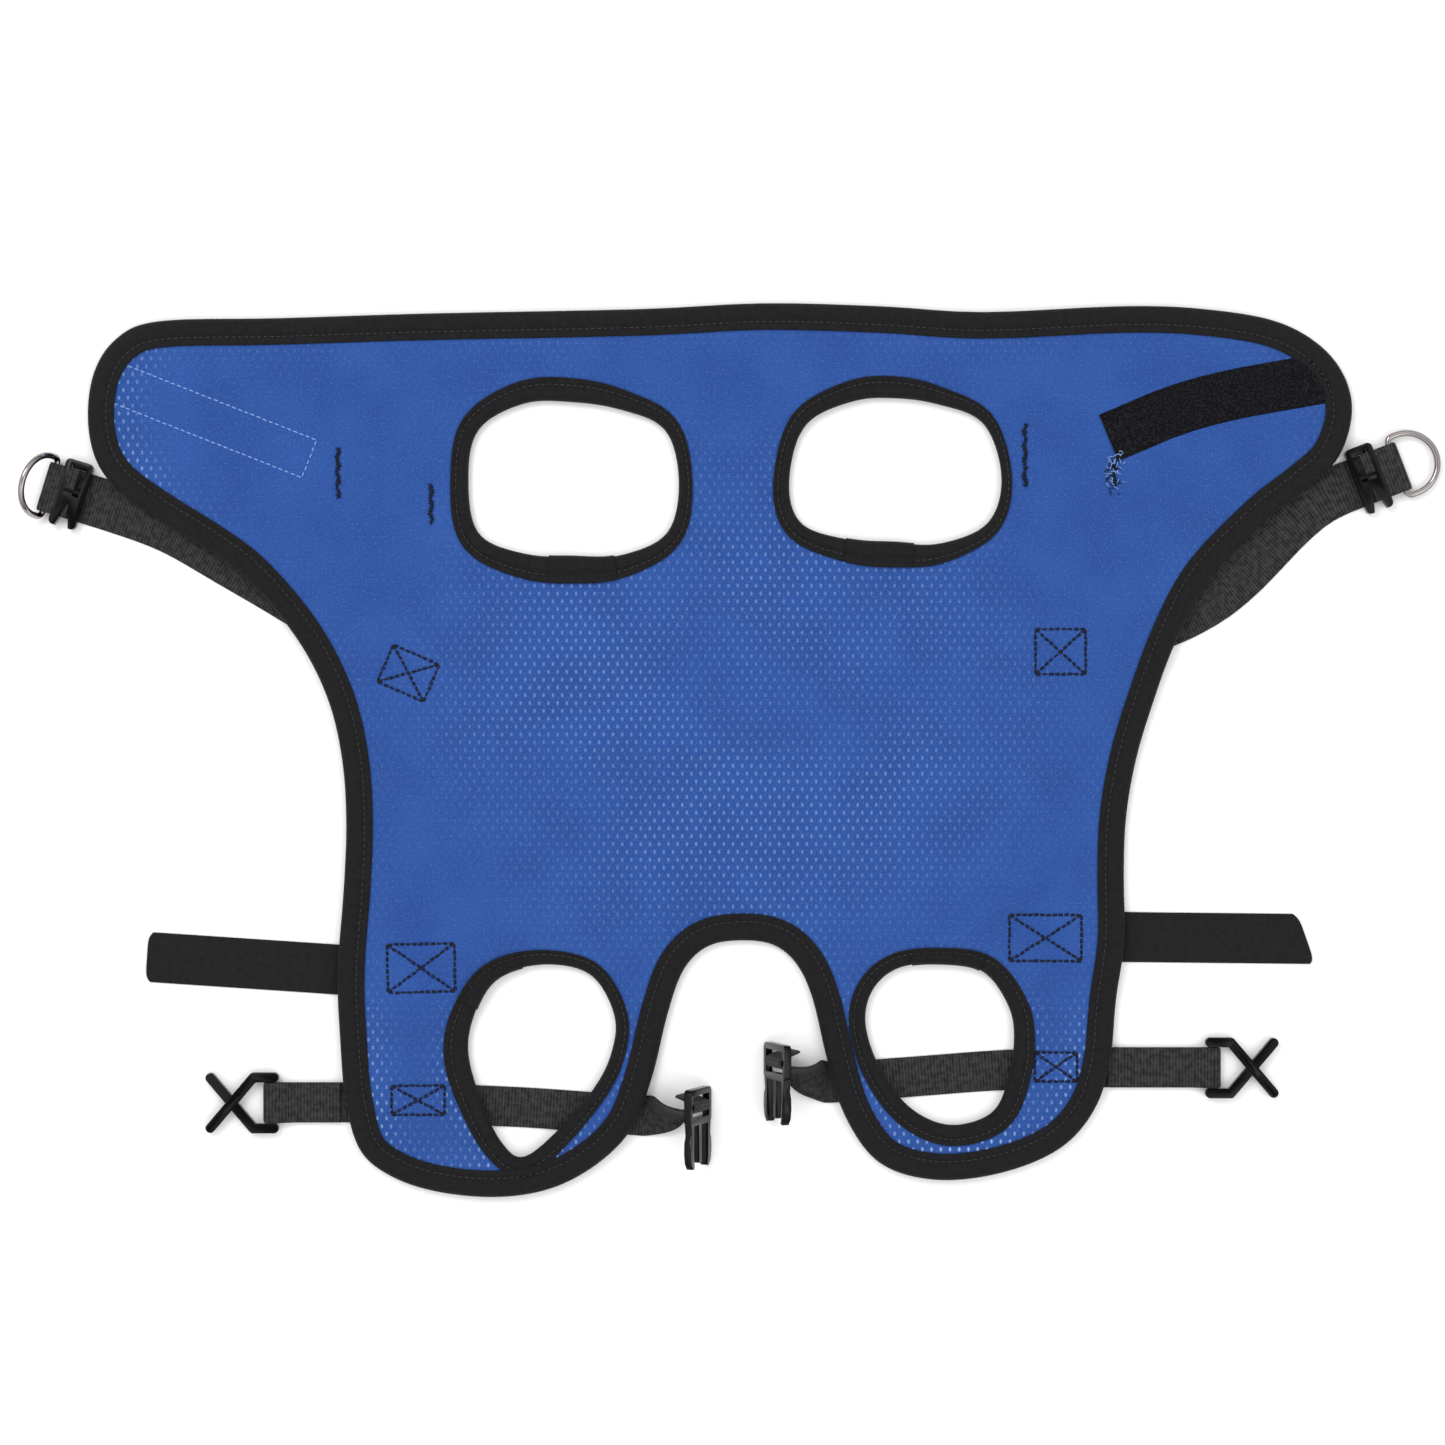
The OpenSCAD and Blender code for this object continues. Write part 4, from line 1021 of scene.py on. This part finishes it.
class Shader:
    """A material with a Principled node, and short ways to add nodes to it."""

    def __init__(self, name, colour, roughness, **settings):
        self.material = bpy.data.materials.new(name)
        self.material.use_nodes = True
        self.tree = self.material.node_tree
        self.main = self.tree.nodes["Principled BSDF"]
        self.fill(self.main, {"Base Color": colour, "Roughness": roughness, **settings})

    def fill(self, node, inputs):
        for name, value in inputs.items():
            if isinstance(value, bpy.types.NodeSocket):
                self.tree.links.new(value, node.inputs[name])
            else:
                node.inputs[name].default_value = value

    def add(self, kind, inputs, output=0, **settings):
        node = self.tree.nodes.new("ShaderNode" + kind)
        for name, value in settings.items():
            setattr(node, name, value)
        self.fill(node, inputs)
        return node.outputs[output]

    def maths(self, operation, a, b=0.0, c=0.0):
        return self.add("Math", {0: a, 1: b, 2: c}, operation=operation)

    def cloth(self):
        uv = self.add("UVMap", {}, uv_map="cloth")
        split = self.tree.nodes.new("ShaderNodeSeparateXYZ")
        self.tree.links.new(uv, split.inputs[0])
        return uv, split.outputs[0], split.outputs[1]

    def wave(self, value, pitch):
        """A cosine from 0 to 1 that repeats every pitch metres."""
        turned = self.maths("MULTIPLY", value, math.tau / pitch)
        return self.maths("MULTIPLY_ADD", self.maths("COSINE", turned), 0.5, 0.5)

    def noise(self, vector, scale, detail=3.0):
        return self.add("TexNoise", {"Vector": vector, "Scale": scale, "Detail": detail})

    def ramp(self, value, low, high, to_low=0.0, to_high=1.0):
        return self.add("MapRange", {"Value": value, "From Min": low, "From Max": high, "To Min": to_low,
                                     "To Max": to_high}, interpolation_type="SMOOTHSTEP")

    def mix(self, share, a, b):
        return self.add("Mix", {0: share, 6: a, 7: b}, output=2, data_type="RGBA")

    def bump(self, height, strength, distance):
        self.fill(self.main, {"Normal": self.add("Bump", {"Strength": strength, "Distance": distance,
                                                          "Height": height})})


# %% The blue knit
def knit():
    """Courses and wales as crossing waves, darkened as painted shade where they are low, with staggered light
    eyelets where the cloth is stretched.
    """
    s = Shader("blue knit", linear(56, 96, 172), 0.85, **{"Sheen Weight": 0.12, "Specular IOR Level": 0.15})
    uv, u, v = s.cloth()
    courses, wales = s.wave(v, 1.25 * MM), s.wave(u, 1.15 * MM)
    weave = s.maths("MULTIPLY_ADD", courses, 0.65, s.maths("MULTIPLY", wales, 0.35))
    lattice = s.maths("MULTIPLY", s.maths("COSINE", s.maths("MULTIPLY", u, math.tau / (4.6 * MM))),
                      s.maths("COSINE", s.maths("MULTIPLY", v, math.tau / (7.8 * MM))))
    eyelet = s.ramp(lattice, 0.45, 0.95)
    east, north = s.maths("MULTIPLY", u, 1 / 0.15), s.maths("MULTIPLY", s.maths("ADD", v, -0.02), 1 / 0.12)
    away = s.maths("SQRT", s.maths("ADD", s.maths("MULTIPLY", east, east), s.maths("MULTIPLY", north, north)))
    patches = s.ramp(s.noise(uv, 9, 2.0), 0.35, 0.6, 0.3, 0.85)
    middle = s.maths("MULTIPLY", s.ramp(away, 0.5, 1.3, 1.0, 0.0), patches)
    near = s.add("Attribute", {}, output=2, attribute_name="near_rim")
    ends = s.maths("MAXIMUM", s.ramp(v, -0.17, -0.11, 1.0, 0.08), s.ramp(u, -0.31, -0.27, 0.8, 0.08))
    uneven = s.ramp(s.noise(uv, 11, 1.0), 0.35, 0.6, 0.2, 1.0)
    worn = s.maths("MULTIPLY", s.maths("MULTIPLY", near, ends), uneven)
    share = s.maths("MULTIPLY", eyelet, s.maths("MINIMUM", s.maths("MULTIPLY_ADD", middle, 0.45, worn), 1.0))
    base = s.mix(s.ramp(s.noise(uv, 30, 5.0), 0.3, 0.7), linear(37, 73, 143), linear(43, 81, 153))
    fleck = s.ramp(s.noise(uv, 900, 2.0), 0.5, 0.75, 0.0, 0.36)
    base = s.mix(fleck, base, linear(84, 124, 196))
    # Painted shade: the colour is darkened where the weave is low, between the courses and wales.
    base = s.mix(s.maths("MULTIPLY", s.maths("SUBTRACT", 1.0, weave), 0.4), base, linear(34, 64, 128))
    s.fill(s.main, {"Base Color": s.mix(s.maths("MULTIPLY", share, 0.75), base, linear(160, 192, 236))})
    s.bump(weave, 0.5, 0.25 * MM)
    return s.material


def ribbed(name, colour, light, across_pitch, along_pitch, patches=0.3, roughness=0.75):
    """Woven tape or webbing: ribs across its length and finer lines along it, as bumps and as a painted
    highlight of the lighter colour on their tops, with random patches of that colour.
    """
    s = Shader(name, colour, roughness, **{"Sheen Weight": 0.04, "Specular IOR Level": 0.18})
    uv, u, v = s.cloth()
    lines = s.maths("MULTIPLY", s.wave(v, along_pitch), 0.3)
    weave = s.maths("MULTIPLY_ADD", s.wave(u, across_pitch), 0.7, lines)
    patch = s.ramp(s.noise(uv, 340, 2.0), 0.35, 0.65)
    # Painted highlight: the colour runs from the dark one in the rib valleys to the lighter one on the rib
    # tops, mixed with random lighter patches.
    rib_highlight_and_patches = s.maths("MULTIPLY_ADD", weave, 1.0 - patches, s.maths("MULTIPLY", patch, patches))
    s.fill(s.main, {"Base Color": s.mix(rib_highlight_and_patches, colour, light)})
    s.bump(weave, 0.6, 0.3 * MM)
    return s.material


def plain(name, colour, roughness, grain=0.0, speck=None, **settings):
    """One colour on object coordinates, with fine bumps where grain is above 0, and specks of a second."""
    s = Shader(name, colour, roughness, **settings)
    if speck:
        place = s.add("TexCoord", {}, output=3)
        s.fill(s.main, {"Base Color": s.mix(s.ramp(s.noise(place, 900, 4.0), 0.4, 0.7), colour, speck)})
    if grain:
        place = s.add("TexCoord", {}, output=3)
        s.bump(s.noise(place, 2500, 2.0), grain, 0.2 * MM)
    return s.material


looks = {
    "lining_knit": knit(),
    "foam": plain("dark foam", linear(60, 60, 62), 0.9, 0.4),
    "shell_fabric": plain("black shell cloth", linear(22, 22, 24), 0.85, 0.5, **{"Specular IOR Level": 0.2}),
    # In each ribbed look the second colour is the painted highlight on the rib tops, also used for its random
    # patches.
    "binding_tape": ribbed("black knit tape", linear(8, 8, 9), linear(26, 25, 28), 0.9 * MM, 0.9 * MM),
    "closure_tape": plain("fuzzy closure", linear(10, 10, 13), 0.95, 1.0, linear(32, 31, 36),
                          **{"Specular IOR Level": 0.12}),
    "webbing": ribbed("black webbing", linear(0, 0, 1), linear(60, 60, 61), 1.6 * MM, 1.0 * MM, 0.38),
    "tab_webbing": ribbed("smooth tab webbing", linear(10, 10, 11), linear(29, 29, 30), 1.0 * MM, 0.8 * MM),
    "blue_thread": plain("light blue thread", linear(116, 156, 216), 0.5, **{"Sheen Weight": 0.2}),
    "black_thread": plain("dark thread", linear(10, 12, 30), 0.5, **{"Specular IOR Level": 0.25}),
    "moulded_plastic": plain("satin black plastic", linear(5, 5, 6), 0.2, 0.03,
                             **{"Specular IOR Level": 0.2}),
    "ring_nickel": plain("bright nickel", linear(158, 151, 151), 0.07, Metallic=1.0),
}
# Painted highlight: the thread in the tape is lighter and browner than the black thread, for the glints on
# its stitches.
tape_thread = plain("thread in the tape", linear(46, 43, 42), 0.45)
keeper_look = plain("webbing of the keepers", linear(24, 24, 25), 0.75, 0.4)
print("materials:", sorted(looks))

# %% [markdown]
# ## Materials, hidden CAD nodes and bodies
#
# Each piece now takes its material, the CAD nodes it stands for are hidden, and pieces within one body ride
# on it.
# Cloth that crosses a fold line, the leg straps and side tabs among it, only has its placement baked into its
# mesh. Anything stiff rides on one.

# %% Finish, replace and attach
def finish_piece(piece, slot, *nodes):
    """Gives a piece the material of a slot in the looks table, and hides the CAD nodes that it replaces."""
    piece.data.materials.clear()
    piece.data.materials.append(looks[slot])
    if nodes:
        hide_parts(*nodes)


def bend_at_centre(piece):
    """Bakes the placement of cloth that crosses the fold beside the centre strip into its mesh."""
    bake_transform(piece)


LAYER_SLOT = {"lining": "lining_knit", "foam": "foam", "shell": "shell_fabric"}
for side in SIDES:
    for kind, slot in LAYER_SLOT.items():
        centre = [kind + "_centre"] if side == "left" else []
        finish_piece(layers[kind, side], slot, f"{kind}_{side}", *centre)
        bend_at_centre(layers[kind, side])
    centre = ["edge_binding_centre"] if side == "left" else []
    finish_piece(tapes["edge_binding", side], "binding_tape", "edge_binding_" + side, *centre)
    bend_at_centre(tapes["edge_binding", side])
    finish_piece(seams["edge_binding", side], "black_thread")
    seams["edge_binding", side].data.materials[0] = tape_thread
    bend_at_centre(seams["edge_binding", side])
    for kind in ("front_hole_binding", "rear_hole_binding"):
        finish_piece(laps[f"{kind}_{side}"], "binding_tape")
        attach(laps[f"{kind}_{side}"], side + "_half")
        finish_piece(tapes[kind, side], "binding_tape", f"{kind}_{side}")
        finish_piece(seams[kind, side], "black_thread")
        seams[kind, side].data.materials[0] = tape_thread
        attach(tapes[kind, side], side + "_half")
        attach(seams[kind, side], side + "_half")
    finish_piece(boxes[side], "black_thread", "box_stitching_" + side)
    finish_piece(tacks[side], "black_thread", "bar_tacks_" + side)
    finish_piece(straps["shoulder_strap", side], "webbing", "shoulder_strap_" + side)
    for piece in (boxes[side], tacks[side], straps["shoulder_strap", side]):
        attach(piece, side + "_half")
    finish_piece(straps["leg_strap", side], "webbing",
                 *[f"leg_strap{part}_{side}" for part in ("", "_twist", "_loop", "_tail", "_end")])
    fold, _ = joint_place(side + "_leg_strap_fold")
    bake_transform(straps["leg_strap", side])
    finish_piece(straps["side_tab", side], "tab_webbing", "side_tab_" + side, "side_tab_base_" + side)
    fold, _ = joint_place(side + "_side_tab_fold")
    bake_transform(straps["side_tab", side])
    for kind in ("cross_hook", "slider", "buckle"):
        finish_piece(fittings[kind, side], "moulded_plastic", f"{kind}_{side}")
        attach(fittings[kind, side], f"{side}_{kind}")
    finish_piece(rings[side], "ring_nickel", "d_ring_" + side)
    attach(rings[side], side + "_d_ring")
finish_piece(blue_seam, "blue_thread", "hook_tape_stitching")
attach(blue_seam, "left_half")
for slot, piece in frays.items():
    finish_piece(piece, slot)
    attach(piece, "right_half")
finish_piece(closure, "closure_tape", "loop_tape")
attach(closure, "right_half")
for node, look in (("hook_tape", looks["closure_tape"]), ("outer_keeper_left", keeper_look),
                   ("outer_keeper_right", keeper_look)):
    for held in frame["nodes"][node].material_slots:
        held.material = look

# %% [markdown]
# ## Floor, light and camera
#
# The harness lies on a white sweep under soft light from all sides, seen from straight above.

# %% Set the stage
FLOOR_HALF = 20.0          # half the side of the floor, m


def add_floor():
    """A large white plane at height 0."""
    mesh = bpy.data.meshes.new("floor")
    corners = [(x * FLOOR_HALF, y * FLOOR_HALF, 0) for x, y in ((-1, -1), (1, -1), (1, 1), (-1, 1))]
    mesh.from_pydata(corners, [], [(0, 1, 2, 3)])
    floor = bpy.data.objects.new("floor", mesh)
    bpy.context.scene.collection.objects.link(floor)
    mesh.materials.append(plain("white sweep", (0.97, 0.97, 0.97, 1), 0.9))
    floor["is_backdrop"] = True


def add_light(name, place, size, power):
    """A square area light that faces the harness."""
    data = bpy.data.lights.new(name, "AREA")
    data.energy, data.size = power, size
    light = bpy.data.objects.new(name, data)
    light.location = place
    light.rotation_euler = (-Vector(place)).to_track_quat("-Z", "Y").to_euler()
    bpy.context.scene.collection.objects.link(light)


add_floor()
add_light("key", (-0.9, 1.1, 1.9), 0.9, 14)
add_light("fill", (1.3, -0.7, 1.7), 1.2, 5)
world = bpy.data.worlds.new("white surround")
world.use_nodes = True
sky, sky_tree = world.node_tree.nodes["Background"], world.node_tree
place = sky_tree.nodes.new("ShaderNodeTexCoord")
height = sky_tree.nodes.new("ShaderNodeSeparateXYZ")
fade = sky_tree.nodes.new("ShaderNodeValToRGB")
stops = fade.color_ramp.elements
for position, strength in ((0.55, 0.75), (0.8, 1.0), (0.955, 1.0), (0.985, 0.06)):
    stops.new(position).color = (strength, strength, strength, 1)
stops[0].color, stops[len(stops) - 1].color = (0.1, 0.1, 0.1, 1), (0.06, 0.06, 0.06, 1)
sky_tree.links.new(place.outputs["Generated"], height.inputs[0])
sky_tree.links.new(height.outputs["Z"], fade.inputs["Fac"])
sky_tree.links.new(fade.outputs["Color"], sky.inputs["Color"])
sky.inputs["Strength"].default_value = 1.36
scene = bpy.context.scene
scene.world = world
scene.view_settings.view_transform = "Standard"

camera = bpy.data.objects.new("camera", bpy.data.cameras.new("camera"))
camera.data.lens, camera.data.sensor_width = 85, 36
camera.location = (-5.25 * MM, 13.75 * MM, 1.706)
camera.rotation_euler = (0, 0, 0)
scene.collection.objects.link(camera)
scene.camera = camera

# %% Write the sizes and finish
low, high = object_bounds()
print("visual box:", [round(c, 4) for c in (high - low)], "m")
